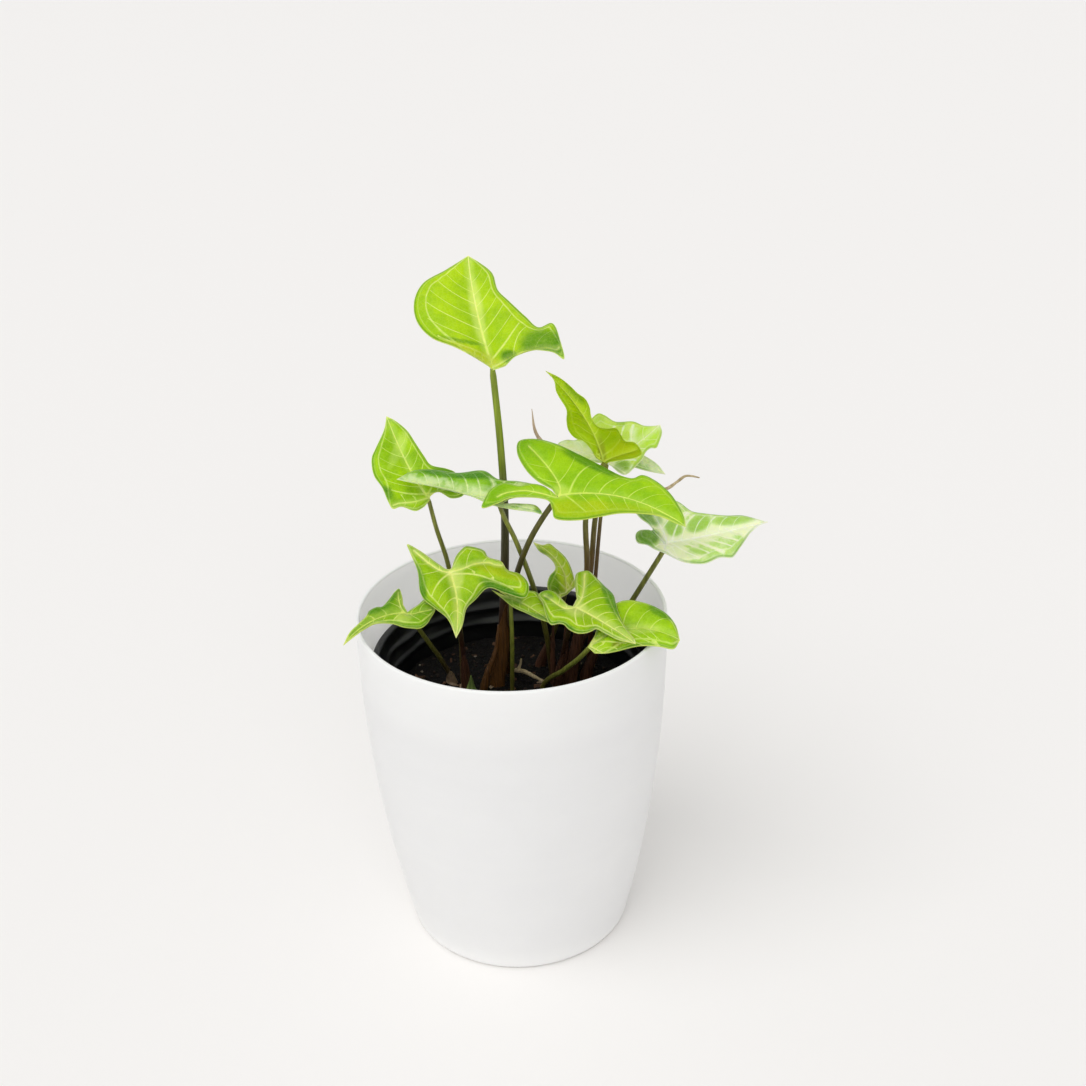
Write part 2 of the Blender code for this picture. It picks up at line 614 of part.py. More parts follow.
def main():
    clear_scene()
    plant = make_collection("potted_arrowhead_plant")
    cutters = make_collection("cutters")
    white = make_material("white_plastic", (0.86, 0.86, 0.84), 0.35)
    black = make_material("black_plastic", (0.015, 0.015, 0.016), 0.45)
    soil = make_material("potting_mix", (0.045, 0.028, 0.018), 0.95)
    green = make_material("green_leaf", (0.33, 0.58, 0.02), 0.42)
    pale = make_material("pale_leaf", (0.62, 0.74, 0.38), 0.42)
    make_cover_pot(plant, white)
    make_nursery_pot(plant, cutters, black)
    holes = [make_leaf(leaf, plant, cutters, pale if leaf.pale else green) for leaf in LEAVES]
    make_potting_mix(plant, soil, holes)


main()
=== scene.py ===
"""Looks of the potted arrowhead plant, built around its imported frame.

Finer pots, potting mix, blades and stalks stand in place of the plain solids, and loose bark,
perlite and dry sheaths are added. Sizes are in millimetres and become metres when meshes are made.
"""

import logging
from dataclasses import dataclass
from enum import Enum
from itertools import pairwise
from math import atan2, cos, pi, radians, sin
from random import Random

import bpy
import numpy as np
from mathutils import Euler, Matrix, Vector, noise
from mathutils.geometry import delaunay_2d_cdt


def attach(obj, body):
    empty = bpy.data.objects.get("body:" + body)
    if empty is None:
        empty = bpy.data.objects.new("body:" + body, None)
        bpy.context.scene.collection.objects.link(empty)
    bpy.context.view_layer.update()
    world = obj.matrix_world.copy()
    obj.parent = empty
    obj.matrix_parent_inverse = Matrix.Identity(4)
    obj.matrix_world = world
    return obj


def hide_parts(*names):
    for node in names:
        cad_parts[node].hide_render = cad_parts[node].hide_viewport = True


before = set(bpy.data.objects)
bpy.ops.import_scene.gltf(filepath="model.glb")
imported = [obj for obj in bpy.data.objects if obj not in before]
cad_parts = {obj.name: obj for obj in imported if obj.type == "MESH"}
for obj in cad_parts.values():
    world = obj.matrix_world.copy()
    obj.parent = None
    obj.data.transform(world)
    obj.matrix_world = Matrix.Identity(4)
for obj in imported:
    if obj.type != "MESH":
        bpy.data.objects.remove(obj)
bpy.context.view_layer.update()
LOG = logging.getLogger("plant")

MM = 0.001
BODY = "root"

# The camera stands where the photograph was taken, and the blades are drawn as seen from there
EYE = np.array((15.9, -631.0, 532.5))
LOOK_DOWN = radians(27.0)
HEAD_TILT = radians(-1.28)
LOOK = np.array((0.0, cos(LOOK_DOWN), -sin(LOOK_DOWN)))
LOOK_UP = np.array((0.0, sin(LOOK_DOWN), cos(LOOK_DOWN)))
ACROSS = cos(HEAD_TILT) * np.array((1.0, 0.0, 0.0)) + sin(HEAD_TILT) * LOOK_UP
UPWARD = cos(HEAD_TILT) * LOOK_UP - sin(HEAD_TILT) * np.array((1.0, 0.0, 0.0))
FOCAL_PIXELS = 1500.0
PHOTO_PIXELS = 1086
SENSOR_WIDTH = 36.0

Socket = bpy.types.NodeSocket
Node = bpy.types.Node
Group = bpy.types.NodeTree
Material = bpy.types.Material
Mesh = bpy.types.Mesh
Piece = bpy.types.Object
Points = np.ndarray
Profile = list[tuple[float, float]]
Rows = tuple[tuple[float, ...], ...]


def tint(code: str) -> tuple[float, float, float, float]:
    """A colour written as six hexadecimal digits, made linear.

    Args:
        code: Red, green and blue as two digits each.

    Returns:
        The linear colour with full alpha.
    """
    shares = [int(code[i:i + 2], 16) / 255 for i in (0, 2, 4)]
    linear = [s / 12.92 if s <= 0.04045 else ((s + 0.055) / 1.055) ** 2.4 for s in shares]
    return (*linear, 1.0)


class Tree:
    """A node tree, with short ways to add nodes to it."""

    def __init__(self, tree: Group) -> None:
        """Wrap a node tree."""
        self.tree = tree

    def feed(self, socket: Socket, value: object) -> None:
        """Link a socket to another node's, or set its plain value.

        Args:
            socket: The input to fill.
            value: The other node's socket, or the value.
        """
        if isinstance(value, Socket):
            self.tree.links.new(value, socket)
        else:
            socket.default_value = value

    def add(self, kind: str, inputs: dict | None = None, **settings: object) -> Node:
        """Add a node.

        Args:
            kind: The node's type.
            inputs: A value or another node's socket for each named or numbered input.
            **settings: The node's own properties.

        Returns:
            The new node.
        """
        node = self.tree.nodes.new(kind)
        for name, setting in settings.items():
            setattr(node, name, setting)
        for name, value in (inputs or {}).items():
            self.feed(node.inputs[name], value)
        return node

    def math(self, operation: str, *values: object, clamp: bool = False) -> Socket:
        """Add a Math node on one to three values and return its result."""
        inputs = dict(enumerate(values))
        return self.add("ShaderNodeMath", inputs, operation=operation, use_clamp=clamp).outputs[0]

    def times(self, first: object, second: object) -> Socket:
        """Multiply two values."""
        return self.math("MULTIPLY", first, second)

    def ramp(self, value: object, low: float, high: float, start: float = 0.0,
             end: float = 1.0) -> Socket:
        """Ease a value from start at low to end at high.

        Args:
            value: The socket to read.
            low: Where the ramp starts.
            high: Where it ends.
            start: The result up to low.
            end: The result from high on.

        Returns:
            The eased value.
        """
        inputs = {"Value": value, "From Min": low, "From Max": high, "To Min": start, "To Max": end}
        node = self.add("ShaderNodeMapRange", inputs, interpolation_type="SMOOTHSTEP")
        return node.outputs["Result"]

    def weighed(self, first: object, first_weight: float, second: object, second_weight: float,
                clamp: bool = False) -> Socket:
        """Add two masks by their weights, and with clamp keep the sum between 0 and 1."""
        return self.math("ADD", self.times(first, first_weight),
                         self.times(second, second_weight), clamp=clamp)

    def mix(self, share: object, first: object, second: object,
            blend: str = "MIX") -> Socket:
        """Mix two colours.

        Args:
            share: How strongly the second colour shows.
            first: The first colour.
            second: The second colour.
            blend: How the second colour acts on the first.

        Returns:
            The mixed colour.
        """
        node = self.add("ShaderNodeMix", data_type="RGBA", blend_type=blend)
        sockets = [socket for socket in node.inputs if socket.enabled]
        for socket, value in zip(sockets, (share, first, second)):
            self.feed(socket, value)
        return next(socket for socket in node.outputs if socket.enabled)

    def noise(self, place: object, scale: object, detail: float = 2.0) -> Socket:
        """Add a noise pattern at a place and return its value."""
        inputs = {"Vector": place, "Scale": scale, "Detail": detail}
        return self.add("ShaderNodeTexNoise", inputs).outputs["Fac"]

    def object_place(self) -> Socket:
        """The place on the piece, in metres."""
        return self.add("ShaderNodeTexCoord").outputs["Object"]

    def attribute(self, name: str) -> Socket:
        """The value of one of the mesh's own attributes."""
        return self.add("ShaderNodeAttribute", attribute_name=name).outputs["Fac"]

    def height(self) -> Socket:
        """The height on the piece, in metres."""
        return self.add("ShaderNodeSeparateXYZ", {0: self.object_place()}).outputs["Z"]

    def effect(self, group: Group, **inputs: object) -> dict:
        """Place a shared effect.

        Args:
            group: The effect's node group.
            **inputs: Its inputs, with an underscore for each space.

        Returns:
            Its outputs by name.
        """
        named = {name.replace("_", " "): value for name, value in inputs.items()}
        node = self.add("ShaderNodeGroup", named, node_tree=group)
        return {socket.name: socket for socket in node.outputs}

    def bump(self, height: object, relief: float) -> Socket:
        """Turn a height into a normal, with its full relief in metres."""
        inputs = {"Height": height, "Distance": relief, "Strength": 1.0}
        return self.add("ShaderNodeBump", inputs).outputs["Normal"]

    def coat(self, shader: Node, colour: object, rough: object, height: object,
             relief: float) -> None:
        """Feed a shader its colour, its roughness and its fine relief.

        Args:
            shader: The Principled shader.
            colour: The colour.
            rough: The roughness.
            height: The height of the relief, from 0 to 1.
            relief: Its full depth in metres.
        """
        self.feed(shader.inputs["Base Color"], colour)
        self.feed(shader.inputs["Roughness"], rough)
        self.feed(shader.inputs["Normal"], self.bump(height, relief))


def new_group(name: str, inputs: tuple[str, ...], outputs: tuple[str, ...],
              vector: bool = False) -> tuple[Group, Tree, dict, Node]:
    """Start a shared shader effect.

    Args:
        name: The group's name.
        inputs: Its number inputs.
        outputs: Its number outputs.
        vector: Whether it also reads a place.

    Returns:
        The group, its tree, its inputs by name and the node that takes its outputs.
    """
    group = bpy.data.node_groups.new(name, "ShaderNodeTree")
    if vector:
        group.interface.new_socket(name="Place", in_out="INPUT", socket_type="NodeSocketVector")
    for label in inputs:
        group.interface.new_socket(name=label, in_out="INPUT", socket_type="NodeSocketFloat")
    for label in outputs:
        group.interface.new_socket(name=label, in_out="OUTPUT", socket_type="NodeSocketFloat")
    tree = Tree(group)
    entry = tree.add("NodeGroupInput")
    exit_node = tree.add("NodeGroupOutput")
    return group, tree, {socket.name: socket for socket in entry.outputs}, exit_node


class Effects:
    """Shader effects that several finishes share, each built once as a node group.

    A range is where a mask begins and ends. Those of a blade's lines are in millimetres, or for the
    rib and the side veins in their own widths.
    """

    PATCH_RANGE = (0.33, 0.67)
    FIBRE_RANGE = (0.3, 0.7)
    SWELL_SCALE = 0.12
    PIT_WEIGHT = 0.4
    SWELL_WEIGHT = 0.6
    RIB_AT_TIP = 0.3
    RIB_RANGE = (0.3, 1.15)
    SIDE_RANGE = (0.2, 1.4)
    SIDE_STRENGTH = 0.75
    HALO_RANGE = (0.3, 3.4)
    RIM_RANGE = (0.12, 0.42)
    # Each vein along the margin: its place between margin and rib, its half width and its strength
    LOOP_VEINS = ((0.21, 0.5, 0.55), (0.075, 0.32, 0.25))
    LOOP_CORE = 0.3
    LEAST_WIDTH = 0.01

    def __init__(self) -> None:
        """Build the four effects."""
        self.mottle = self.make_mottle()
        self.streaks = self.make_streaks()
        self.grain = self.make_grain()
        self.veins = self.make_veins()

    def make_mottle(self) -> Group:
        """Make soft patches.

        Returns:
            The group, which puts out a mask.
        """
        group, tree, given, out = new_group("soft_patches", ("Scale",), ("Mask",), vector=True)
        pattern = tree.noise(given["Place"], given["Scale"], 3.0)
        tree.feed(out.inputs["Mask"], tree.ramp(pattern, *self.PATCH_RANGE))
        return group

    def make_streaks(self) -> Group:
        """Make upright fibres.

        Returns:
            The group, which puts out a mask.
        """
        group, tree, given, out = new_group("upright_fibres", ("Scale", "Stretch"), ("Mask",),
                                            vector=True)
        squeeze = tree.add("ShaderNodeCombineXYZ", {0: 1.0, 1: 1.0, 2: given["Stretch"]})
        place = tree.add("ShaderNodeVectorMath", {0: given["Place"], 1: squeeze.outputs[0]},
                         operation="MULTIPLY")
        pattern = tree.noise(place.outputs[0], given["Scale"], 3.0)
        tree.feed(out.inputs["Mask"], tree.ramp(pattern, *self.FIBRE_RANGE))
        return group

    def make_grain(self) -> Group:
        """Make fine pits and bumps over coarser swells.

        Returns:
            The group, which puts out a height.
        """
        group, tree, given, out = new_group("fine_grain", ("Scale",), ("Height",), vector=True)
        pits = tree.noise(given["Place"], given["Scale"], 4.0)
        swells = tree.noise(given["Place"],
                            tree.times(given["Scale"], self.SWELL_SCALE))
        tree.feed(out.inputs["Height"],
                  tree.weighed(pits, self.PIT_WEIGHT, swells, self.SWELL_WEIGHT))
        return group

    def make_veins(self) -> Group:
        """Make a blade's pale lines: its ribs, its side veins and the veins along its margin.

        Returns:
            The group, which reads the blade's distances and puts out masks.
        """
        inputs = ("Rib", "Along", "Side", "Main", "Edge", "Rib Width", "Loops")
        group, tree, given, out = new_group("vein_lines", inputs, ("Lines", "Halo", "Rim"))
        thinning = tree.ramp(given["Along"], -0.5, 1.0, 1.0, self.RIB_AT_TIP)
        rib_width = tree.times(given["Rib Width"], thinning)
        rib = tree.ramp(tree.math("DIVIDE", given["Rib"], rib_width), *self.RIB_RANGE, 1.0, 0.0)
        side = tree.ramp(given["Side"], *self.SIDE_RANGE, self.SIDE_STRENGTH, 0.0)
        width = tree.math("ADD", given["Main"], given["Edge"])
        share = tree.math("DIVIDE", given["Edge"], tree.math("MAXIMUM", width, self.LEAST_WIDTH))
        lines = tree.math("MAXIMUM", rib, side)
        for place, half_width, strength in self.LOOP_VEINS:
            off = tree.math("ABSOLUTE", tree.math("SUBTRACT", share, place))
            reach = tree.times(off, width)
            line = tree.ramp(reach, half_width * self.LOOP_CORE, half_width, strength, 0.0)
            lines = tree.math("MAXIMUM", lines, tree.times(line, given["Loops"]))
        tree.feed(out.inputs["Lines"], lines)
        tree.feed(out.inputs["Halo"], tree.ramp(given["Rib"], *self.HALO_RANGE, 1.0, 0.0))
        tree.feed(out.inputs["Rim"], tree.ramp(given["Edge"], *self.RIM_RANGE, 1.0, 0.0))
        return group


EFFECTS = Effects()


def new_material(name: str) -> tuple[Material, Tree, Node]:
    """Start a material.

    Args:
        name: The material's name.

    Returns:
        The material, its tree and its Principled shader.
    """
    material = bpy.data.materials.new(name)
    material.use_nodes = True
    shader = material.node_tree.nodes["Principled BSDF"]
    return material, Tree(material.node_tree), shader


def let_light_in(shader: Node, share: float, spread: tuple[float, float, float],
                 depth: float) -> None:
    """Let light into a thin wall or a blade.

    Args:
        shader: The Principled shader.
        share: How much of the light goes in, from 0 to 1.
        spread: How far red, green and blue go, as shares of the depth.
        depth: The depth in metres.
    """
    shader.inputs["Subsurface Weight"].default_value = share
    shader.inputs["Subsurface Radius"].default_value = spread
    shader.inputs["Subsurface Scale"].default_value = depth


@dataclass(frozen=True)
class PlasticFinish:
    """Moulded plastic with a fine grain and faint turning bands.

    glow is the share of the light that goes in. Its depth and the relief are in metres.
    """

    name: str
    colour: str
    shadow: str
    roughness: float
    grain_scale: float = 900.0
    relief: float = 0.00004
    patch_scale: float = 14.0
    patch_share: float = 0.35
    band_scale: float = 55.0
    band_share: float = 0.4
    dulling: float = 0.08
    glow: float = 0.0
    glow_depth: float = 0.005
    glow_spread: tuple[float, float, float] = (1.0, 1.0, 0.95)

    def dress(self) -> Material:
        """Make the material.

        Returns:
            The finished material.
        """
        material, tree, shader = new_material(self.name)
        place = tree.object_place()
        patches = tree.effect(EFFECTS.mottle, Place=place, Scale=self.patch_scale)["Mask"]
        bands = tree.add("ShaderNodeTexNoise",
                         {"W": tree.height(), "Scale": self.band_scale, "Detail": 4.0},
                         noise_dimensions="1D").outputs["Fac"]
        share = tree.weighed(patches, self.patch_share, bands, self.band_share)
        colour = tree.mix(share, tint(self.colour), tint(self.shadow))
        rough = tree.ramp(patches, 0.0, 1.0, self.roughness, self.roughness + self.dulling)
        grain = tree.effect(EFFECTS.grain, Place=place, Scale=self.grain_scale)["Height"]
        tree.coat(shader, colour, rough, grain, self.relief)
        let_light_in(shader, self.glow, self.glow_spread, self.glow_depth)
        return material


class MarkKind(Enum):
    """The soft patches that single leaves have, by the name of their mesh attribute."""

    DARK = "dark_mark"
    GREEN = "green_mark"
    WARM = "warm_mark"
    BROWN = "brown_mark"
    PALE = "pale_mark"


# How strongly each kind of patch covers the green, in the order in which they are laid on
MARK_WEIGHTS = (0.85, 0.8, 0.9, 0.8, 0.34)

# The numbers that each corner of a blade carries: its distances from the ribs, its place between
# base and tip, its distances from the side veins, the main veins and the margin, and its face
BLADE_FIELDS = ("rib_mm", "along", "side", "main_mm", "edge_mm", "under")


@dataclass(frozen=True)
class Mark:
    """A soft oval patch on a blade.

    Its middle and half sizes are millimetres across and upward from the leaf's base as seen from
    EYE, and it is turned counter-clockwise by some degrees. Strength is from 0 to 1. It fades
    between the two shares of its half sizes in fade.
    """

    kind: MarkKind
    middle: tuple[float, float]
    size: tuple[float, float]
    turn: float = 0.0
    strength: float = 1.0
    fade: tuple[float, float] = (0.7, 1.3)

    def mask(self, across: Points, upward: Points) -> Points:
        """How strongly the patch shows at each spot.

        Args:
            across: The spots' distances across from the base.
            upward: Their distances upward from it.

        Returns:
            A share for each spot.
        """
        turn = radians(self.turn)
        x = across - self.middle[0]
        y = upward - self.middle[1]
        far = np.hypot((x * cos(turn) + y * sin(turn)) / self.size[0],
                       (y * cos(turn) - x * sin(turn)) / self.size[1])
        full, gone = self.fade
        share = np.clip((gone - far) / (gone - full), 0.0, 1.0)
        return self.strength * share * share * (3 - 2 * share)


@dataclass(frozen=True)
class LeafFinish:
    """A waxy blade: greens that drift, pale veins and margin, and a duller underside.

    marbling is how far cream spreads from the veins, from 0 to 1. Rib width is in millimetres.
    """

    name: str
    green: str
    deep: str
    vein: str
    under: str
    cream: str = "DDEBC0"
    marbling: float = 0.0
    rib_width: float = 0.9
    halo: float = 0.3
    roughness: float = 0.42
    dark: str = "357C02"
    warm: str = "B4BE06"
    brown: str = "6B5A10"
    patch: str = "8CC420"
    shine: float = 0.15
    loops: float = 1.0
    under_share: float = 0.62
    patch_scale: float = 95.0
    patch_share: float = 0.42
    blotch_scale: float = 230.0
    fine_scale: float = 420.0
    fine_share: float = 0.16
    net_scale: float = 620.0
    net_share: float = 0.06
    line_share: float = 0.95
    rim_share: float = 0.55
    relief: float = 0.00009
    glow: float = 0.5
    glow_depth: float = 0.0012
    glow_spread: tuple[float, float, float] = (0.8, 1.0, 0.1)

    def dress(self) -> Material:
        """Make the material.

        Returns:
            The finished material.
        """
        material, tree, shader = new_material(self.name)
        place = tree.object_place()
        rib, along, side, main, edge, under = (tree.attribute(name) for name in BLADE_FIELDS)
        veins = tree.effect(EFFECTS.veins, Rib=rib, Along=along, Side=side, Main=main, Edge=edge,
                            Rib_Width=self.rib_width, Loops=self.loops)
        patches = tree.effect(EFFECTS.mottle, Place=place, Scale=self.patch_scale)["Mask"]
        fine = tree.effect(EFFECTS.mottle, Place=place, Scale=self.fine_scale)["Mask"]
        lobes = tree.ramp(along, -0.12, -0.5, 0.0, 0.75)
        by_margin = tree.ramp(edge, 0.5, 3.0, 0.6, 0.0)
        share = tree.weighed(patches, self.patch_share, fine, self.fine_share)
        share = tree.math("MAXIMUM", share, tree.math("MAXIMUM", lobes, by_margin))
        colour = tree.mix(share, tint(self.green), tint(self.deep))
        if self.marbling:
            blotch = tree.effect(EFFECTS.mottle, Place=place, Scale=self.blotch_scale)["Mask"]
            colour = self.marbled(tree, colour, main, side, blotch)
        colour = self.marked(tree, colour, patches)
        net = tree.add("ShaderNodeTexVoronoi", {"Vector": place, "Scale": self.net_scale},
                       feature="DISTANCE_TO_EDGE").outputs["Distance"]
        threads = tree.ramp(net, 0.02, 0.12, self.net_share, 0.0)
        colour = tree.mix(threads, colour, tint(self.vein))
        colour = tree.mix(tree.ramp(edge, 0.4, 1.3, 0.5, 0.0), colour, tint(self.dark))
        colour = self.veined(tree, colour, veins, fine)
        below = tree.times(under, self.under_share)
        colour = tree.mix(below, colour, tint(self.under))
        rough = tree.ramp(fine, 0.0, 1.0, self.roughness - 0.04, self.roughness + 0.1)
        height = tree.math("SUBTRACT", tree.ramp(net, 0.0, 0.25), veins["Lines"])
        tree.coat(shader, colour, rough, height, self.relief)
        let_light_in(shader, self.glow, self.glow_spread, self.glow_depth)
        shader.inputs["Specular IOR Level"].default_value = self.shine
        return material

    def marked(self, tree: Tree, colour: object, patches: object) -> Socket:
        """Lay the blade's own patches over its green.

        Args:
            tree: The material's tree.
            colour: The colour so far.
            patches: A mask of soft patches, where the blade's own ones are weaker.

        Returns:
            The colour with its patches.
        """
        uneven = tree.ramp(patches, 0.0, 1.0, 1.0, 0.75)
        codes = (self.dark, self.patch, self.warm, self.brown, self.vein)
        for kind, code, weight in zip(MarkKind, codes, MARK_WEIGHTS):
            strength = tree.times(tree.attribute(kind.value), weight)
            strength = tree.times(strength, uneven)
            colour = tree.mix(strength, colour, tint(code))
        return colour

    def veined(self, tree: Tree, colour: object, veins: dict,
               fine: object) -> Socket:
        """Draw the pale veins and the margin's rim over the colour.

        Args:
            tree: The material's tree.
            colour: The colour so far.
            veins: The outputs of the vein effect.
            fine: A mask of small patches, which breaks up the lines.

        Returns:
            The colour with its veins.
        """
        vein = tint(self.vein)
        colour = tree.mix(tree.times(veins["Halo"], self.halo), colour, vein)
        dark = tree.times(tree.attribute(MarkKind.DARK.value), MARK_WEIGHTS[0])
        hidden = tree.math("MAXIMUM", tree.attribute(MarkKind.WARM.value), dark)
        shown = tree.times(tree.ramp(hidden, 0.0, 1.0, self.line_share, 0.3),
                          tree.ramp(fine, 0.0, 1.0, 0.7, 1.0))
        colour = tree.mix(tree.times(veins["Lines"], shown), colour, vein)
        return tree.mix(tree.times(veins["Rim"], self.rim_share), colour, vein)

    def marbled(self, tree: Tree, colour: object, main: object, side: object,
                blotch: object) -> Socket:
        """Spread cream from the veins.

        Args:
            tree: The material's tree.
            colour: The green so far.
            main: The distance from the main veins.
            side: The distance from the side veins, in their widths.
            blotch: A mask of soft patches.

        Returns:
            The marbled colour.
        """
        near = tree.ramp(main, 0.5, 9.0, 1.0, 0.0)
        near = tree.math("MAXIMUM", near, tree.ramp(side, 1.0, 6.0, 0.9, 0.0))
        spread = tree.weighed(near, 0.7, blotch, 0.45)
        low = 0.7 - 0.6 * self.marbling
        greened = tree.math("MAXIMUM", tree.attribute(MarkKind.GREEN.value),
                            tree.attribute(MarkKind.DARK.value))
        cream = tree.times(tree.ramp(spread, low, low + 0.6, 0.0, 0.95),
                          tree.ramp(greened, 0.0, 1.0, 1.0, 0.25))
        return tree.mix(cream, colour, tint(self.cream))


@dataclass(frozen=True)
class StalkFinish:
    """A round stalk that darkens from the blade down to the mix. Heights are in millimetres."""

    name: str
    top: str
    middle: str
    foot: str
    high: float = 235.0
    low: float = 150.0
    shade: str = "8C8C78"
    fibre_scale: float = 900.0
    fibre_stretch: float = 0.05
    fibre_share: float = 0.55
    relief: float = 0.00012

    def dress(self) -> Material:
        """Make the material.

        Returns:
            The finished material.
        """
        material, tree, shader = new_material(self.name)
        place = tree.object_place()
        height = tree.height()
        half_way = (self.high + self.low) / 2
        upper = tree.ramp(height, half_way * MM, self.high * MM)
        lower = tree.ramp(height, self.low * MM, half_way * MM)
        colour = tree.mix(lower, tint(self.foot), tint(self.middle))
        colour = tree.mix(upper, colour, tint(self.top))
        fibres = tree.effect(EFFECTS.streaks, Place=place, Scale=self.fibre_scale,
                             Stretch=self.fibre_stretch)["Mask"]
        colour = tree.mix(tree.times(fibres, self.fibre_share), colour,
                          tint(self.shade), "MULTIPLY")
        tree.coat(shader, colour, tree.ramp(fibres, 0.0, 1.0, 0.38, 0.55), fibres, self.relief)
        return material


@dataclass(frozen=True)
class DryFinish:
    """Dry plant matter or bark: two tones in fibres or patches, with a tone for each scrap."""

    name: str
    light: str
    dark: str
    scale: float = 500.0
    stretch: float = 0.12
    roughness: float = 0.8
    relief: float = 0.0002
    fibre_share: float = 0.55
    tone_share: float = 0.5
    shine: float = 0.3

    def dress(self) -> Material:
        """Make the material.

        Returns:
            The finished material.
        """
        material, tree, shader = new_material(self.name)
        fibres = tree.effect(EFFECTS.streaks, Place=tree.object_place(), Scale=self.scale,
                             Stretch=self.stretch)["Mask"]
        share = tree.weighed(fibres, self.fibre_share, tree.attribute("tone"), self.tone_share,
                             clamp=True)
        colour = tree.mix(share, tint(self.light), tint(self.dark))
        rough = tree.ramp(fibres, 0.0, 1.0, self.roughness - 0.12, self.roughness + 0.08)
        tree.coat(shader, colour, rough, fibres, self.relief)
        shader.inputs["Specular IOR Level"].default_value = self.shine
        return material


@dataclass(frozen=True)
class SoilFinish:
    """Moist peaty mix: near black with brown crumbs."""

    name: str = "potting_mix_crumbs"
    dark: str = "030202"
    brown: str = "0E0805"
    patch_scale: float = 260.0
    fine_scale: float = 1400.0
    grain_scale: float = 1600.0
    relief: float = 0.0006
    shine: float = 0.2

    def dress(self) -> Material:
        """Make the material.

        Returns:
            The finished material.
        """
        material, tree, shader = new_material(self.name)
        place = tree.object_place()
        patches = tree.effect(EFFECTS.mottle, Place=place, Scale=self.patch_scale)["Mask"]
        fine = tree.effect(EFFECTS.mottle, Place=place, Scale=self.fine_scale)["Mask"]
        share = tree.times(patches, tree.ramp(fine, 0.0, 1.0, 0.35, 1.0))
        colour = tree.mix(share, tint(self.dark), tint(self.brown))
        grain = tree.effect(EFFECTS.grain, Place=place, Scale=self.grain_scale)["Height"]
        tree.coat(shader, colour, tree.ramp(fine, 0.0, 1.0, 0.7, 0.95), grain, self.relief)
        shader.inputs["Specular IOR Level"].default_value = self.shine
        return material


class LeafLook(Enum):
    """The blades' colourings."""

    LIME = LeafFinish("blade_lime", "B4D400", "82B200", "EEF698", "A9BC00", halo=0.24, rib_width=1.1)
    BRIGHT = LeafFinish("blade_bright", "AAD200", "68A000", "E4F288", "9CC004", halo=0.22,
                        rib_width=1.0)
    CENTRE = LeafFinish("blade_centre", "A2CC00", "70AC00", "E0F078", "AEBC00", halo=0.15, loops=0.55)
    OLIVE = LeafFinish("blade_olive", "B4D000", "88AE00", "E0EC70", "BAD600", halo=0.15,
                       rib_width=0.8, loops=0.5, under_share=0.35)
    FRONT = LeafFinish("blade_front", "A4C800", "66A000", "EEF498", "90AC08", halo=0.36,
                       rib_width=1.0)
    SMALL = LeafFinish("blade_small", "8CB600", "508C00", "E0EC80", "8CAE08", halo=0.2,
                       rib_width=0.7, patch="7AAC08")
    INNER = LeafFinish("blade_inner", "C8E00C", "80AC08", "E8EE98", "90B010", halo=0.24,
                       rib_width=0.7)
    CREAM = LeafFinish("blade_cream", "C4DF80", "A0CC58", "F6FAE6", "BAD68A", cream="E8F0C4",
                       marbling=0.95, halo=0.4, dark="4E8600", patch="8CBC14", loops=0.7)
    PALE_LIME = LeafFinish("blade_pale_lime", "C6E058", "AED03C", "F0F8CC", "CCE09E",
                           cream="DEEEBC", marbling=0.6, halo=0.35, dark="7AA828", patch="B4DC28",
                           loops=0.5)
    STREAKED = LeafFinish("blade_streaked", "8CC01C", "5A9A10", "E4F0B4", "ACCA80",
                          cream="C8DC9C", marbling=0.28, halo=0.25, shine=0.12)
    YOUNG = LeafFinish("blade_young", "BFDA8C", "9CC464", "EDF4CE", "B8D08C", marbling=0.5,
                       rib_width=0.6)


class StalkLook(Enum):
    """The stalks' colourings."""

    TALL = StalkFinish("stalk_tall", "8A9E1A", "423E10", "36170A", 275.0, 155.0)
    DARK = StalkFinish("stalk_dark", "5E5A1A", "403814", "33160C", 235.0, 145.0)
    OLIVE = StalkFinish("stalk_olive", "868A34", "686A26", "50401E", 215.0, 130.0)
    GREEN = StalkFinish("stalk_green", "96A240", "868E36", "6A6628", 190.0, 125.0)
    RUSSET = StalkFinish("stalk_russet", "7A8018", "664C1A", "4E2614", 232.0, 140.0)


class DryLook(Enum):
    """The colourings of dry shoots, sheaths and buds."""

    SHOOT = DryFinish("dry_shoot", "CDB69C", "866A50", 700.0, 0.1, 0.6)
    TWIG = DryFinish("dry_twig_bark", "C8B692", "75603F", 700.0, 0.3, 0.75)
    SHEATH = DryFinish("dry_sheath", "5A3A2A", "1C0D09", 1300.0, 0.04, 0.5, 0.0004)
    AMBER = DryFinish("amber_sheath", "66431F", "26140B", 1300.0, 0.04, 0.5, 0.0004)
    BUD = DryFinish("bud_scale", "B29A7C", "6A4E38", 700.0, 0.2, 0.7)
    SPROUT = DryFinish("green_sprout", "8FA65A", "2C4A18", 700.0, 0.1, 0.5)


def deselect_all() -> None:
    """Leave nothing selected, so that an operator acts on new pieces alone."""
    bpy.ops.object.select_all(action="DESELECT")


def select_only(piece: Piece) -> None:
    """Select one piece and make it the active one."""
    deselect_all()
    piece.select_set(True)
    bpy.context.view_layer.objects.active = piece


def add_object(name: str, data: bpy.types.ID) -> Piece:
    """Put a mesh, a curve, a light or a camera in the scene under a name and return its object."""
    item = bpy.data.objects.new(name, data)
    bpy.context.scene.collection.objects.link(item)
    return item


def store(mesh: Mesh, name: str, values: object) -> None:
    """Store a number on each corner of a mesh, under a name that its material reads."""
    field = mesh.attributes.new(name, "FLOAT", "POINT")
    field.data.foreach_set("value", np.asarray(values, np.float32))


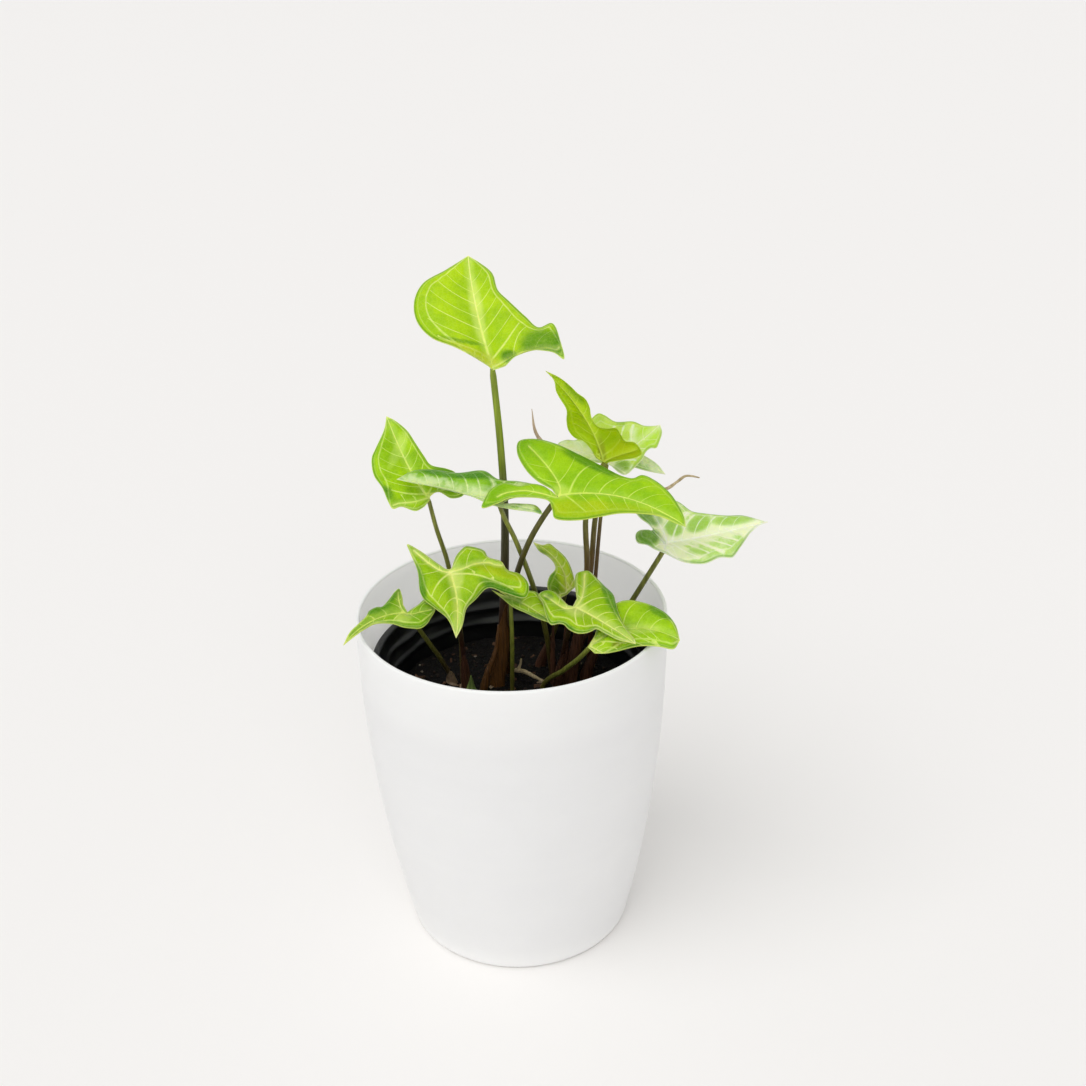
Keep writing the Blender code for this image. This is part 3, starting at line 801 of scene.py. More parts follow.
def face_outward(merge: float = 0.0) -> None:
    """Turn the active piece's faces outward.

    Args:
        merge: Corners closer than this, in metres, are merged first.
    """
    bpy.ops.object.mode_set(mode="EDIT")
    bpy.ops.mesh.select_all(action="SELECT")
    if merge:
        bpy.ops.mesh.remove_doubles(threshold=merge)
    bpy.ops.mesh.normals_make_consistent(inside=False)
    bpy.ops.object.mode_set(mode="OBJECT")


def modify(piece: Piece, kind: str, **settings: object) -> None:
    """Give a piece a modifier and apply it.

    Args:
        piece: The piece.
        kind: The modifier's type.
        **settings: Its properties.
    """
    modifier = piece.modifiers.new(kind, kind)
    for name, value in settings.items():
        setattr(modifier, name, value)
    select_only(piece)
    bpy.ops.object.modifier_apply(modifier=kind)


def settle(piece: Piece, material: Material, slot: str, *nodes: str,
           degrees: float = 50.0) -> Piece:
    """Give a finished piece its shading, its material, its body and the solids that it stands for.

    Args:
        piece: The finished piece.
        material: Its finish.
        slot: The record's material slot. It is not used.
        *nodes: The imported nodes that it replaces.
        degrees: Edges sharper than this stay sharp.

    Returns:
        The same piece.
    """
    select_only(piece)
    bpy.ops.object.shade_smooth_by_angle(angle=radians(degrees))
    piece.data.materials.clear()
    piece.data.materials.append(material)
    piece.data.name = piece.name
    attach(piece, BODY)
    if nodes:
        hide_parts(*nodes)
    LOG.info("%s: %d faces", piece.name, len(piece.data.polygons))
    return piece


def turned(name: str, rings: Profile, sides: int) -> Piece:
    """Draw a closed round piece out of a disc, ring by ring.

    Args:
        name: The piece's name.
        rings: The radius and height of each ring, in order along the surface.
        sides: How many sides each ring has.

    Returns:
        The new piece.
    """
    deselect_all()
    radius, height = rings[0]
    bpy.ops.mesh.primitive_circle_add(vertices=sides, radius=radius * MM, fill_type="NGON",
                                      location=(0.0, 0.0, height * MM))
    piece = bpy.context.object
    piece.name = name
    bpy.ops.object.mode_set(mode="EDIT")
    bpy.ops.mesh.select_all(action="SELECT")
    for (radius, height), (next_radius, next_height) in pairwise(rings):
        rise = (0.0, 0.0, (next_height - height) * MM)
        bpy.ops.mesh.extrude_region_move(TRANSFORM_OT_translate={"value": rise})
        ratio = next_radius / radius
        bpy.ops.transform.resize(value=(ratio, ratio, 1.0))
    face_outward()
    bpy.ops.object.transform_apply(location=True, rotation=True, scale=True)
    return piece


def arc(centre: tuple[float, float], radius: float, start: float, end: float,
        steps: int) -> Profile:
    """Points on an arc of a profile.

    Args:
        centre: The arc's centre, as a radius and a height.
        radius: The arc's own radius.
        start: The first point's angle in degrees, 0 outward and 90 up.
        end: The last point's angle.
        steps: How many steps lie between them.

    Returns:
        The points, as radii and heights.
    """
    turns = [radians(start + (end - start) * i / steps) for i in range(steps + 1)]
    return [(centre[0] + radius * cos(turn), centre[1] + radius * sin(turn)) for turn in turns]


def smooth_line(points: object, count: int) -> Points:
    """Spread points on a smooth curve through rows of coordinates.

    Args:
        points: The rows that the curve passes through.
        count: How many steps the result has.

    Returns:
        The curve's points, one to a row.
    """
    rows = np.asarray(points, float)
    ends = np.vstack([2 * rows[0] - rows[1], rows, 2 * rows[-1] - rows[-2]])
    steps = np.linalg.norm(np.diff(rows, axis=0), axis=1) ** 0.5
    knots = np.concatenate([[-steps[0], 0.0], np.cumsum(steps)])
    knots = np.append(knots, knots[-1] + steps[-1])
    line = []
    for t in np.linspace(0.0, knots[-2], count + 1):
        i = int(np.clip(np.searchsorted(knots, t, side="right") - 2, 0, len(rows) - 2))
        p = ends[i:i + 4]
        k = knots[i:i + 4]
        a = [p[j] + (p[j + 1] - p[j]) * (t - k[j]) / (k[j + 1] - k[j]) for j in range(3)]
        b = [a[j] + (a[j + 1] - a[j]) * (t - k[j]) / (k[j + 2] - k[j]) for j in range(2)]
        line.append(b[0] + (b[1] - b[0]) * (t - k[1]) / (k[2] - k[1]))
    return np.array(line)


def along_line(points: Points, steps: int) -> Points:
    """Spread points evenly by length along a dense line.

    Args:
        points: The dense line.
        steps: How many equal steps to take.

    Returns:
        The evenly spread points.
    """
    runs = np.concatenate([[0.0], np.cumsum(np.linalg.norm(np.diff(points, axis=0), axis=1))])
    wanted = np.linspace(0.0, runs[-1], steps + 1)
    return np.stack([np.interp(wanted, runs, column) for column in points.T], axis=1)


def line_distances(spots: Points, line: Points) -> tuple[Points, Points]:
    """Measure each spot's distance in the flat from a line.

    Args:
        spots: The spots, one to a row.
        line: The line's points.

    Returns:
        The distances, and the share of the line's length at which each spot is nearest to it.
    """
    starts = line[:-1, :2]
    steps = np.diff(line[:, :2], axis=0)
    out = spots[:, None] - starts[None]
    shares = np.clip((out * steps).sum(axis=2) / (steps ** 2).sum(axis=1), 0.0, 1.0)
    gaps = np.linalg.norm(out - shares[..., None] * steps, axis=2)
    nearest = gaps.argmin(axis=1)
    rows = np.arange(len(spots))
    return gaps[rows, nearest], (nearest + shares[rows, nearest]) / len(steps)


def is_inside(spots: Points, ring: Points) -> Points:
    """Tell whether each spot lies within a closed ring.

    Args:
        spots: The spots, one to a row.
        ring: The ring's points in order.

    Returns:
        True for each spot within it.
    """
    start = ring[None, :, :2]
    end = np.roll(ring[:, :2], -1, axis=0)[None]
    x = spots[:, None, 0]
    y = spots[:, None, 1]
    level = (start[..., 1] > y) != (end[..., 1] > y)
    rise = np.where(level, end[..., 1] - start[..., 1], 1.0)
    side = start[..., 0] + (end[..., 0] - start[..., 0]) * (y - start[..., 1]) / rise
    return (level & (x < side)).sum(axis=1) % 2 == 1


@dataclass(frozen=True)
class CoverPot:
    """The plain white cover pot.

    corner: how far in from the wall and up from the floor the inner corner's rings lie.
    """

    rim_radius: float = 75.0
    height: float = 176.0
    base_radius: float = 56.3
    bow: float = 5.3
    wall: float = 2.0
    floor: float = 3.0
    foot_round: float = 3.0
    inner_foot: float = 12.0
    corner: tuple[tuple[float, float], ...] = ((0.5, 2.5), (4.0, 0.0))
    centre: float = 1.5
    wall_steps: int = 26
    sides: int = 180
    finish: PlasticFinish = PlasticFinish("white_satin_plastic", "F4F4F2", "ECECEB", 0.4,
                                          glow=0.7)
    # The inside is painted a paler white than the outside: painted light that brightens the shaded
    # inner wall
    inside: PlasticFinish = PlasticFinish("white_inner_plastic_painted_light", "FEFEFB", "F8F8F5", 0.45,
                                          glow=1.0, glow_depth=0.02)

    def radius_at(self, height: float) -> float:
        """The outer radius at a height: a cone with a slight bow."""
        t = height / self.height
        return self.base_radius + (self.rim_radius - self.base_radius) * t + 4 * self.bow * t * (1 - t)

    def rings(self) -> Profile:
        """Draw the profile: from the middle of the base, up the outside, over the rim and back in.

        Returns:
            The radius and height of each ring.
        """
        lip = self.wall / 2
        top = self.height - lip
        foot_edge = self.radius_at(self.foot_round)
        outer = np.linspace(self.foot_round, top, self.wall_steps)[1:-1]
        inner = np.linspace(top, self.inner_foot, self.wall_steps)[1:]
        rings = [(self.centre, 0.0)]
        rings += arc((foot_edge - self.foot_round, self.foot_round), self.foot_round, -90, 0, 8)
        rings += [(self.radius_at(z), z) for z in outer]
        rings += arc((self.radius_at(top) - lip, top), lip, 0, 180, 10)
        rings += [(self.radius_at(z) - self.wall, z) for z in inner]
        inside = self.base_radius - self.wall
        rings += [(inside - inward, self.floor + up) for inward, up in self.corner]
        return rings + [(self.centre, self.floor)]

    def dress_inside(self, pot: Piece) -> None:
        """Give the inner wall its own finish: a paler white than the outside, which is painted light
        that brightens the shaded inside, and a glow that lets more light through the thin wall.

        Args:
            pot: The dressed pot.
        """
        pot.data.materials.append(self.inside.dress())
        for face in pot.data.polygons:
            radius, height = face.center.xy.length / MM, face.center.z / MM
            below_lip = self.floor < height < self.height - self.wall
            if below_lip and radius < self.radius_at(height) - self.wall / 2:
                face.material_index = 1

    def build(self) -> None:
        """Make the pot and dress it."""
        pot = turned("white_cover_pot", self.rings(), self.sides)
        settle(pot, self.finish.dress(), "white_plastic", "cover_pot", degrees=40.0)
        self.dress_inside(pot)


@dataclass(frozen=True)
class NurseryPot:
    """The thin black nursery pot, with a rolled rim, soft dents and drain holes.

    rim_fade: how far below the top the dents end, and over what height they fade.
    mix_fade: the height at which they are faintest, and over what height they grow.
    shoulders: the heights of the rings that are pressed into the wall.
    """

    top: float = 151.0
    radius: float = 67.0
    base_radius: float = 49.0
    wall: float = 1.2
    rim_width: float = 2.2
    rim_depth: float = 7.0
    rim_round: float = 0.9
    under_round: float = 0.8
    floor: float = 3.3
    centre: float = 1.5
    drain_radius: float = 5.0
    drain_depth: float = 8.0
    drain_circle: float = 30.0
    drain_count: int = 5
    drain_sides: int = 20
    dent: float = 1.7
    dent_from: float = 100.0
    dents_round: float = 5.0
    dent_height: float = 9.0
    rim_fade: tuple[float, float] = (2.0, 7.0)
    mix_fade: tuple[float, float] = (122.0, 9.0)
    faintest: float = 0.3
    shoulders: tuple[float, ...] = (141.0, 133.0)
    shoulder_depth: float = 1.1
    shoulder_width: float = 1.5
    fine_from: float = 120.0
    sides: int = 144
    finish: PlasticFinish = PlasticFinish("black_pot_plastic", "070808", "121415", 0.34,
                                          relief=0.00008)

    def inner_radius(self, height: float) -> float:
        """The inner radius at a height."""
        t = (height - self.floor) / (self.top - self.floor)
        return self.base_radius + (self.radius - self.base_radius) * t - self.wall

    def rings(self) -> Profile:
        """Draw the profile: from the middle of the base, up the outside, over the rim and back in.

        Returns:
            The radius and height of each ring.
        """
        under_rim = self.top - self.rim_depth
        rim = self.radius + self.rim_width
        low, high, fine = self.under_round, self.rim_round, self.fine_from
        outer = [*np.linspace(self.floor + 1.0, fine, 8)[:-1], *np.linspace(fine, under_rim, 20)]
        inner = [*np.linspace(self.top - 1.0, fine, 44)[:-1],
                 *np.linspace(fine, self.floor + self.wall, 10)]
        rings = [(self.centre, self.floor), (self.base_radius - 1.0, self.floor)]
        rings += [(self.inner_radius(z) + self.wall, z) for z in outer]
        rings += arc((rim - low, under_rim + low), low, -90, 0, 4)
        rings += arc((rim - high, self.top - high), high, 0, 90, 5)
        rings += arc((self.inner_radius(self.top) + high, self.top - high), high, 90, 180, 4)[:-1]
        rings += [(self.inner_radius(z), z) for z in inner]
        return rings + [(self.centre, self.floor + self.wall)]

    def dented(self, pot: Piece) -> None:
        """Press soft dents and rings into the wall between the mix and the rim.

        Args:
            pot: The plain pot.
        """
        for vertex in pot.data.vertices:
            height = vertex.co.z / MM
            if height < self.dent_from:
                continue
            below_rim = (self.top - self.rim_fade[0] - height) / self.rim_fade[1]
            above_mix = (height - self.mix_fade[0]) / self.mix_fade[1]
            reach = np.clip(below_rim, 0.0, 1.0) * np.clip(above_mix, self.faintest, 1.0)
            outward = Vector((vertex.co.x, vertex.co.y, 0.0)).normalized()
            place = outward * self.dents_round
            place.z = height / self.dent_height
            push = noise.noise(place) * self.dent * float(reach)
            push -= self.shoulder_depth * sum(
                np.exp(-((height - level) / self.shoulder_width) ** 2) for level in self.shoulders)
            vertex.co += outward * push * MM

    def drained(self, pot: Piece) -> None:
        """Cut the drain holes through the floor.

        Args:
            pot: The pot without holes.
        """
        for i in range(self.drain_count):
            turn = 2 * pi * i / self.drain_count
            place = (self.drain_circle * cos(turn), self.drain_circle * sin(turn), self.floor)
            deselect_all()
            bpy.ops.mesh.primitive_cylinder_add(
                vertices=self.drain_sides, radius=self.drain_radius * MM,
                depth=self.drain_depth * MM, location=Vector(place) * MM)
            drain = bpy.context.object
            modify(pot, "BOOLEAN", operation="DIFFERENCE", object=drain)
            bpy.data.objects.remove(drain)

    def build(self) -> None:
        """Make the pot and dress it."""
        pot = turned("black_nursery_pot", self.rings(), self.sides)
        self.dented(pot)
        self.drained(pot)
        settle(pot, self.finish.dress(), "black_plastic", "nursery_pot", degrees=40.0)


@dataclass(frozen=True)
class PottingMix:
    """The potting mix, with a crumbly top.

    brow: how far in from the pot's wall and down from the top the outermost rings lie.
    layers: the name, the grain size and the height of each roughness of the top.
    """

    pot: NurseryPot
    top: float = 125.0
    gap: float = 0.3
    dent_share: float = 0.25
    brow: tuple[tuple[float, float], ...] = ((0.0, 1.5), (1.0, 0.4))
    first_ring: float = 2.0
    last_rings: tuple[float, float] = (2.0, 0.8)
    ring_step: float = 1.6
    sides: int = 144
    layers: tuple[tuple[str, float, float], ...] = (
        ("Lumps", 11.0, 4.4), ("Crumbs", 3.2, 2.8), ("Grit", 1.3, 0.9))
    finish: SoilFinish = SoilFinish()

    def rings(self) -> Profile:
        """Draw the profile: from the middle of the underside, up the wall and in over the top.

        Returns:
            The radius and height of each ring.
        """
        bottom = self.pot.floor + self.pot.wall + self.gap
        side_gap = self.pot.dent * self.dent_share + self.gap
        edge = self.pot.inner_radius(self.top) - side_gap
        rings = [(self.pot.centre, bottom), (self.pot.inner_radius(bottom) - side_gap, bottom)]
        rings += [(edge - inward, self.top - down) for inward, down in self.brow]
        across = np.arange(edge - self.first_ring, self.last_rings[0], -self.ring_step)
        return rings + [(radius, self.top) for radius in (*across, self.last_rings[1])]

    def roughened(self, mix: Piece) -> None:
        """Raise lumps and crumbs on the top, and leave the sides plain.

        Args:
            mix: The plain mix.
        """
        select_only(mix)
        bpy.ops.object.mode_set(mode="EDIT")
        bpy.ops.mesh.select_all(action="DESELECT")
        bpy.ops.object.mode_set(mode="OBJECT")
        for face in mix.data.polygons:
            face.select = face.center.z > (self.top - 0.3) * MM
        bpy.ops.object.mode_set(mode="EDIT")
        bpy.ops.mesh.subdivide(number_cuts=1)
        bpy.ops.object.mode_set(mode="OBJECT")
        high = [v.index for v in mix.data.vertices if v.co.z > (self.top - 0.2) * MM]
        mix.vertex_groups.new(name="top").add(high, 1.0, "REPLACE")
        for label, size, lift in self.layers:
            pattern = bpy.data.textures.new(label, "CLOUDS")
            pattern.noise_scale = size * MM
            modify(mix, "DISPLACE", texture=pattern, texture_coords="LOCAL", direction="Z",
                   strength=lift * MM, mid_level=0.5, vertex_group="top")
        mix.vertex_groups.clear()

    def build(self) -> Piece:
        """Make the mix and dress it.

        Returns:
            The finished mix, which the litter lies on.
        """
        mix = turned("potting_mix_top", self.rings(), self.sides)
        self.roughened(mix)
        return settle(mix, self.finish.dress(), "potting_mix", "potting_mix", degrees=60.0)


@dataclass(frozen=True)
class Scrap:
    """A kind of loose bit on the mix: how many, how large, and how it looks."""

    name: str
    count: int
    size: tuple[float, float, float]
    vary: float
    round_shape: bool
    finish: DryFinish
    places: tuple[tuple[float, float], ...] = ()


@dataclass(frozen=True)
class Litter:
    """The loose bits that lie on the potting mix.

    stretch: the least and the most that each side of a bit is stretched by.
    lean: how far bits are turned out of the level, as a spread in radians.
    raised: how far a bit's middle stands over the mix, as a share of its thickness.
    """

    radius: float = 59.0
    drop_from: float = 140.0
    seed: int = 7
    stretch: tuple[float, float] = (0.7, 1.3)
    lean: float = 0.25
    raised: float = 0.15
    scraps: tuple[Scrap, ...] = (
        Scrap("soil_crumbs", 520, (1.5, 1.2, 0.9), 0.6, True,
              DryFinish("crumb_brown", "2C1C11", "0A0604", 300.0, 1.0, 0.85)),
        Scrap("bark_chips", 70, (3.4, 1.8, 0.7), 0.5, False,
              DryFinish("bark_brown", "6A4A34", "24150D", 420.0, 0.4, 0.8)),
        Scrap("perlite", 26, (1.0, 0.9, 0.8), 0.45, True,
              DryFinish("perlite_white", "A89E90", "6A6056", 900.0, 1.0, 0.9)),
        Scrap("pale_chips", 6, (4.2, 2.0, 0.8), 0.15, False,
              DryFinish("chip_beige", "C9B79C", "8A7058", 500.0, 0.4, 0.75),
              ((-30.5, 12.0), (-26.5, 9.0), (-33.0, 20.0), (12.5, 13.5), (-3.0, 27.0), (-11.0, 10.0))),
    )

    def model(self, scrap: Scrap) -> Mesh:
        """Model one bit of a kind.

        Args:
            scrap: The kind.

        Returns:
            A mesh one unit across, which copies are made from.
        """
        deselect_all()
        if scrap.round_shape:
            bpy.ops.mesh.primitive_ico_sphere_add(subdivisions=2, radius=0.5)
            item = bpy.context.object
            for vertex in item.data.vertices:
                vertex.co *= 1.0 + 0.5 * noise.noise(vertex.co * 3.1)
        else:
            bpy.ops.mesh.primitive_cube_add(size=1.0)
            item = bpy.context.object
            bpy.ops.object.mode_set(mode="EDIT")
            bpy.ops.mesh.subdivide(number_cuts=2)
            bpy.ops.mesh.bevel(offset=0.06, segments=1)
            bpy.ops.object.mode_set(mode="OBJECT")
            for vertex in item.data.vertices:
                vertex.co += noise.noise_vector(vertex.co * 2.3) * 0.16
        mesh = item.data.copy()
        bpy.data.objects.remove(item)
        return mesh

    def scattered(self, scrap: Scrap, mix: Piece, luck: Random) -> Piece:
        """Lay copies of one kind on the mix, joined as one piece.

        Args:
            scrap: The kind.
            mix: The potting mix that they lie on.
            luck: The seeded source of chance.

        Returns:
            The new piece.
        """
        model = self.model(scrap)
        corners = np.array([vertex.co for vertex in model.vertices])
        model_faces = [tuple(face.vertices) for face in model.polygons]
        places = []
        faces = []
        tones = []
        for i in range(scrap.count):
            turn = luck.uniform(0.0, 2 * pi)
            reach = self.radius * luck.random() ** 0.5
            flat = scrap.places[i] if scrap.places else (reach * cos(turn), reach * sin(turn))
            spot = Vector((*flat, self.drop_from)) * MM
            found, point, normal, _ = mix.ray_cast(spot, (0.0, 0.0, -1.0))
            if not found:
                continue
            grow = 1.0 + scrap.vary * luck.uniform(-1.0, 1.0)
            size = np.array(scrap.size) * grow * [luck.uniform(*self.stretch) for _ in range(3)]
            level = normal.to_track_quat("Z", "Y").to_matrix()
            spin = Euler((luck.gauss(0, self.lean), luck.gauss(0, self.lean),
                          luck.uniform(0, 2 * pi)))
            turned_by = np.array(level @ spin.to_matrix())
            first = len(places) * len(corners)
            faces += [tuple(first + corner for corner in face) for face in model_faces]
            places.append((corners * size) @ turned_by.T * MM + np.array(point)
                          + np.array(normal) * size[2] * self.raised * MM)
            tones += [luck.random()] * len(corners)
        mesh = bpy.data.meshes.new(scrap.name)
        mesh.from_pydata(np.vstack(places).tolist(), [], faces)
        store(mesh, "tone", tones)
        bpy.data.meshes.remove(model)
        return add_object(scrap.name, mesh)

    def build(self, mix: Piece) -> None:
        """Scatter each kind on the mix.

        Args:
            mix: The potting mix.
        """
        luck = Random(self.seed)
        for scrap in self.scraps:
            settle(self.scattered(scrap, mix, luck), scrap.finish.dress(), "potting_mix")


@dataclass(frozen=True)
class Leaf:
    """One leaf: a blade on its stalk.

    base: where the stalk meets the blade.
    face: heading and rise of the upper face's normal, in degrees.
    tip, rib, left, right: points across and upward from the base as seen from EYE, each with an
        optional shift toward the eye. The rib point is where the rib passes half way. Left and
        right run from the tip round each side of the blade to the notch at the stalk.
    stalk: points from the mix up to the blade.
    radii: the stalk's radius at the mix and at the blade.
    arch: how far the halves bow up between the rib and the margin.
    fold: how far each half is tilted up from the rib, in degrees.
    slot: the record's material slot.
    marks: the blade's own patches.
    """

    name: str
    look: LeafLook
    stalk_look: StalkLook
    base: tuple[float, float, float]
    face: tuple[float, float]
    tip: tuple[float, float]
    rib: tuple[float, ...]
    left: Rows
    right: Rows
    stalk: Rows
    radii: tuple[float, float]
    arch: float = 3.0
    fold: float = 6.0
    slot: str = "green_leaf"
    marks: tuple[Mark, ...] = ()


@dataclass(frozen=True)
class Make:
    """How finely blades, veins and stalks are made, in millimetres, degrees and shares."""

    margin_spacing: float = 0.9
    grid_spacing: float = 1.0
    fine_steps: int = 160
    abreast: float = 0.18
    lobe_least: int = 8
    vein_steps: int = 40
    vein_reach: float = 0.8
    notch_back: float = 1.2
    bow_span: float = 0.4
    pair_length: float = 8.0
    pair_range: tuple[int, int] = (4, 7)
    pair_strengths: tuple[float, ...] = (1.5, 0.6, 0.85, 0.5, 0.7, 0.45, 0.4)
    first_pair: float = 0.05
    pair_span: float = 0.78
    pair_stagger: float = 0.03
    lobe_pairs: tuple[tuple[float, float], ...] = ((0.34, 0.7), (0.6, 0.5))
    lobe_share: float = 1.5
    side_width: float = 0.4
    side_angle: float = 68.0
    side_lean: float = 54.0
    side_reach: float = 0.8
    side_step: float = 1.4
    reach_from: float = 0.6
    reach_step: float = 0.4
    vein_gap: float = 1.2
    vein_clear: float = 3.0
    vein_least: float = 2.0
    far: float = 20.0
    thickness: float = 0.56
    margin_thickness: float = 0.3
    margin_taper: float = 1.5
    groove: float = 0.12
    groove_width: float = 1.3
    ridge: float = 0.5
    quilt: float = 0.45
    quilt_width: float = 2.2
    rooted: float = 18.0
    stalk_steps: int = 56
    stalk_sides: int = 20
    stalk_inset: float = 0.5
    stalk_end: float = 0.75
    channel: float = 0.2
    merge: float = 0.01


MAKE = Make()


class Blade:
    """The blade of one leaf: its outline, its veins and its sheet of triangles."""

    def __init__(self, leaf: Leaf) -> None:
        """Set the blade's axes, as rows: to the tip, to its left and off its face.

        Args:
            leaf: The leaf whose blade it is.
        """
        self.leaf = leaf
        self.base = np.array(leaf.base, float)
        heading, rise = (radians(angle) for angle in leaf.face)
        normal = np.array((cos(rise) * cos(heading), cos(rise) * sin(heading), sin(rise)))
        forward = self.seen_at(leaf.tip, normal) - self.base
        forward /= np.linalg.norm(forward)
        self.axes = np.array((forward, np.cross(normal, forward), normal))
        self.margin, self.rib, self.lobes = self.main_lines()
        self.length = self.margin[0, 0]
        self.sides = self.side_veins()

    def seen_at(self, point: tuple[float, ...], normal: Points) -> Points:
        """Find the point of a plane through the base that is seen at a place.

        Args:
            point: Across and upward from the base as seen, and a shift toward the eye.
            normal: The plane's normal.

        Returns:
            The point in space.
        """
        target = self.base + point[0] * ACROSS + point[1] * UPWARD
        reach = ((self.base - EYE) @ normal) / ((target - EYE) @ normal)
        place = EYE + reach * (target - EYE)
        shift = point[2] if len(point) > 2 else 0.0
        toward = EYE - place
        return place + toward / np.linalg.norm(toward) * shift

    @staticmethod
    def lobe_vein(line: Points) -> Points:
        """Draw a lobe's own vein, from the stalk out between its outer and inner margins.

        Args:
            line: One side's margin, from the tip to the notch.

        Returns:
            The vein's points.
        """
        last = len(line) - MAKE.lobe_least
        near = np.nonzero(line[:last, 0] < MAKE.abreast * line[0, 0])[0]
        abreast = near[0] if len(near) else last - MAKE.lobe_least
        lobe_end = abreast + int(np.argmax(np.linalg.norm(line[abreast:last, :2], axis=1)))
        lobe_end = max(lobe_end, abreast + MAKE.lobe_least)
        outer = along_line(line[abreast:lobe_end + 1], MAKE.vein_steps)
        inner = along_line(line[lobe_end:], MAKE.vein_steps)[::-1]
        pull = np.linspace(1.0, 0.0, MAKE.vein_steps + 1)[:, None] ** 2
        vein = (1 - pull) * (outer + inner) / 2
        return vein[:int(MAKE.vein_reach * MAKE.vein_steps) + 1]

    def main_lines(self) -> tuple[Points, Points, list[Points]]:
        """Draw the blade's main lines, in its own axes.

        Returns:
            The margin all round, the rib, and the two lobe veins.
        """
        leaf = self.leaf
        tip = self.seen_at(leaf.tip, self.axes[2])
        sides = []
        lobes = []
        for outline, side in ((leaf.left, 1), (leaf.right, -1)):
            fold = radians(leaf.fold) * side
            tilted = cos(fold) * self.axes[2] - sin(fold) * self.axes[1]
            rows = [tip] + [self.seen_at(point, tilted) for point in outline]
            line = (smooth_line(rows, MAKE.fine_steps) - self.base) @ self.axes.T
            run = np.linalg.norm(np.diff(line, axis=0), axis=1).sum()
            sides.append(along_line(line, round(run / MAKE.margin_spacing)))
            lobes.append(self.lobe_vein(line))
        notch = np.array(((-MAKE.notch_back, 0.0, 0.0),))
        margin = np.vstack([sides[0], notch, sides[1][:0:-1]])
        end = (tip - self.base) @ self.axes.T
        bend = 2 * (self.seen_at(leaf.rib, self.axes[2]) - self.base) @ self.axes.T - end / 2
        shares = np.linspace(0.0, 1.0, round(end[0] / MAKE.margin_spacing) + 1)[:, None]
        rib = 2 * shares * (1 - shares) * bend + shares ** 2 * end
        return margin, rib, lobes

    def seen_places(self, places: Points) -> tuple[Points, Points]:
        """Find where points in space are seen from EYE.

        Args:
            places: The points.

        Returns:
            How far across and how far upward from the base each is seen.
        """
        out = places - EYE
        reach = ((self.base - EYE) @ LOOK) / (out @ LOOK)
        offset = EYE + out * reach[:, None] - self.base
        return offset @ ACROSS, offset @ UPWARD

    def reach(self, start: Points, heading: float) -> float:
        """Measure how far a straight line runs before it leaves the blade.

        Args:
            start: The spot where it starts.
            heading: Its direction in radians.

        Returns:
            The distance.
        """
        runs = np.arange(MAKE.reach_from, 1.5 * self.length + 4.0, MAKE.reach_step)
        line = start + runs[:, None] * np.array((cos(heading), sin(heading)))
        outside = ~is_inside(line, self.margin)
        return float(runs[np.argmax(outside)]) if outside.any() else float(runs[-1])

    def side_vein(self, stem: Points, place: float, turn: int) -> Points:
        """Draw one side vein: it leaves its stem steeply and leans toward the stem's end.

        Args:
            stem: The line that it leaves.
            place: Where it leaves, as a share of the stem.
            turn: 1 to the stem's left and -1 to its right.

        Returns:
            The vein's points in the flat.
        """
        at = min(int(place * (len(stem) - 1)), len(stem) - 2)
        start = stem[at, :2]
        ahead = stem[min(at + 3, len(stem) - 1), :2] - start
        heading = atan2(ahead[1], ahead[0])
        first = heading + turn * radians(MAKE.side_angle)
        last = heading + turn * radians(MAKE.side_lean * (1.0 - 0.25 * place))
        run = self.reach(start, last) * MAKE.side_reach
        end = start + run * np.array((cos(last), sin(last)))
        bend = start + 0.5 * run * np.array((cos(first), sin(first)))
        t = np.linspace(0.0, 1.0, max(3, round(run / MAKE.side_step)) + 1)[:, None]
        return (1 - t) ** 2 * start + 2 * t * (1 - t) * bend + t ** 2 * end

    @staticmethod
    def cut_short(vein: Points, others: list[Points]) -> Points:
        """End a side vein where it would run into another vein.

        Args:
            vein: The side vein's points.
            others: The other veins.

        Returns:
            The points before that place.
        """
        near = np.min([line_distances(vein, other)[0] for other in others], axis=0)
        run = np.linalg.norm(vein - vein[0], axis=1)
        blocked = (near < MAKE.vein_gap) & (run > MAKE.vein_clear)
        return vein[:int(np.argmax(blocked))] if blocked.any() else vein

    def side_veins(self) -> list[tuple[Points, float]]:
        """Draw all side veins.

        Returns:
            Each vein's points in the flat, and its strength, which scales its width.
        """
        veins = []
        taken = list(self.lobes)
        pairs = int(np.clip(round(self.length / MAKE.pair_length), *MAKE.pair_range))
        for i in range(pairs):
            place = MAKE.first_pair + MAKE.pair_span * i / pairs
            for turn in (1, -1):
                stagger = MAKE.pair_stagger if turn > 0 else 0.0
                vein = self.cut_short(self.side_vein(self.rib, place + stagger, turn), taken)
                veins.append((vein, MAKE.pair_strengths[i]))
        taken += [self.rib] + [vein for vein, _ in veins if len(vein) > 2]
        for lobe in self.lobes:
            others = [line for line in taken if line is not lobe]
            for place, strength in MAKE.lobe_pairs:
                for turn in (1, -1):
                    vein = self.cut_short(self.side_vein(lobe, place, turn), others)
                    veins.append((vein, strength))
        return [(line, strength) for line, strength in veins
                if len(line) > 2 and np.linalg.norm(line[-1] - line[0]) > MAKE.vein_least]

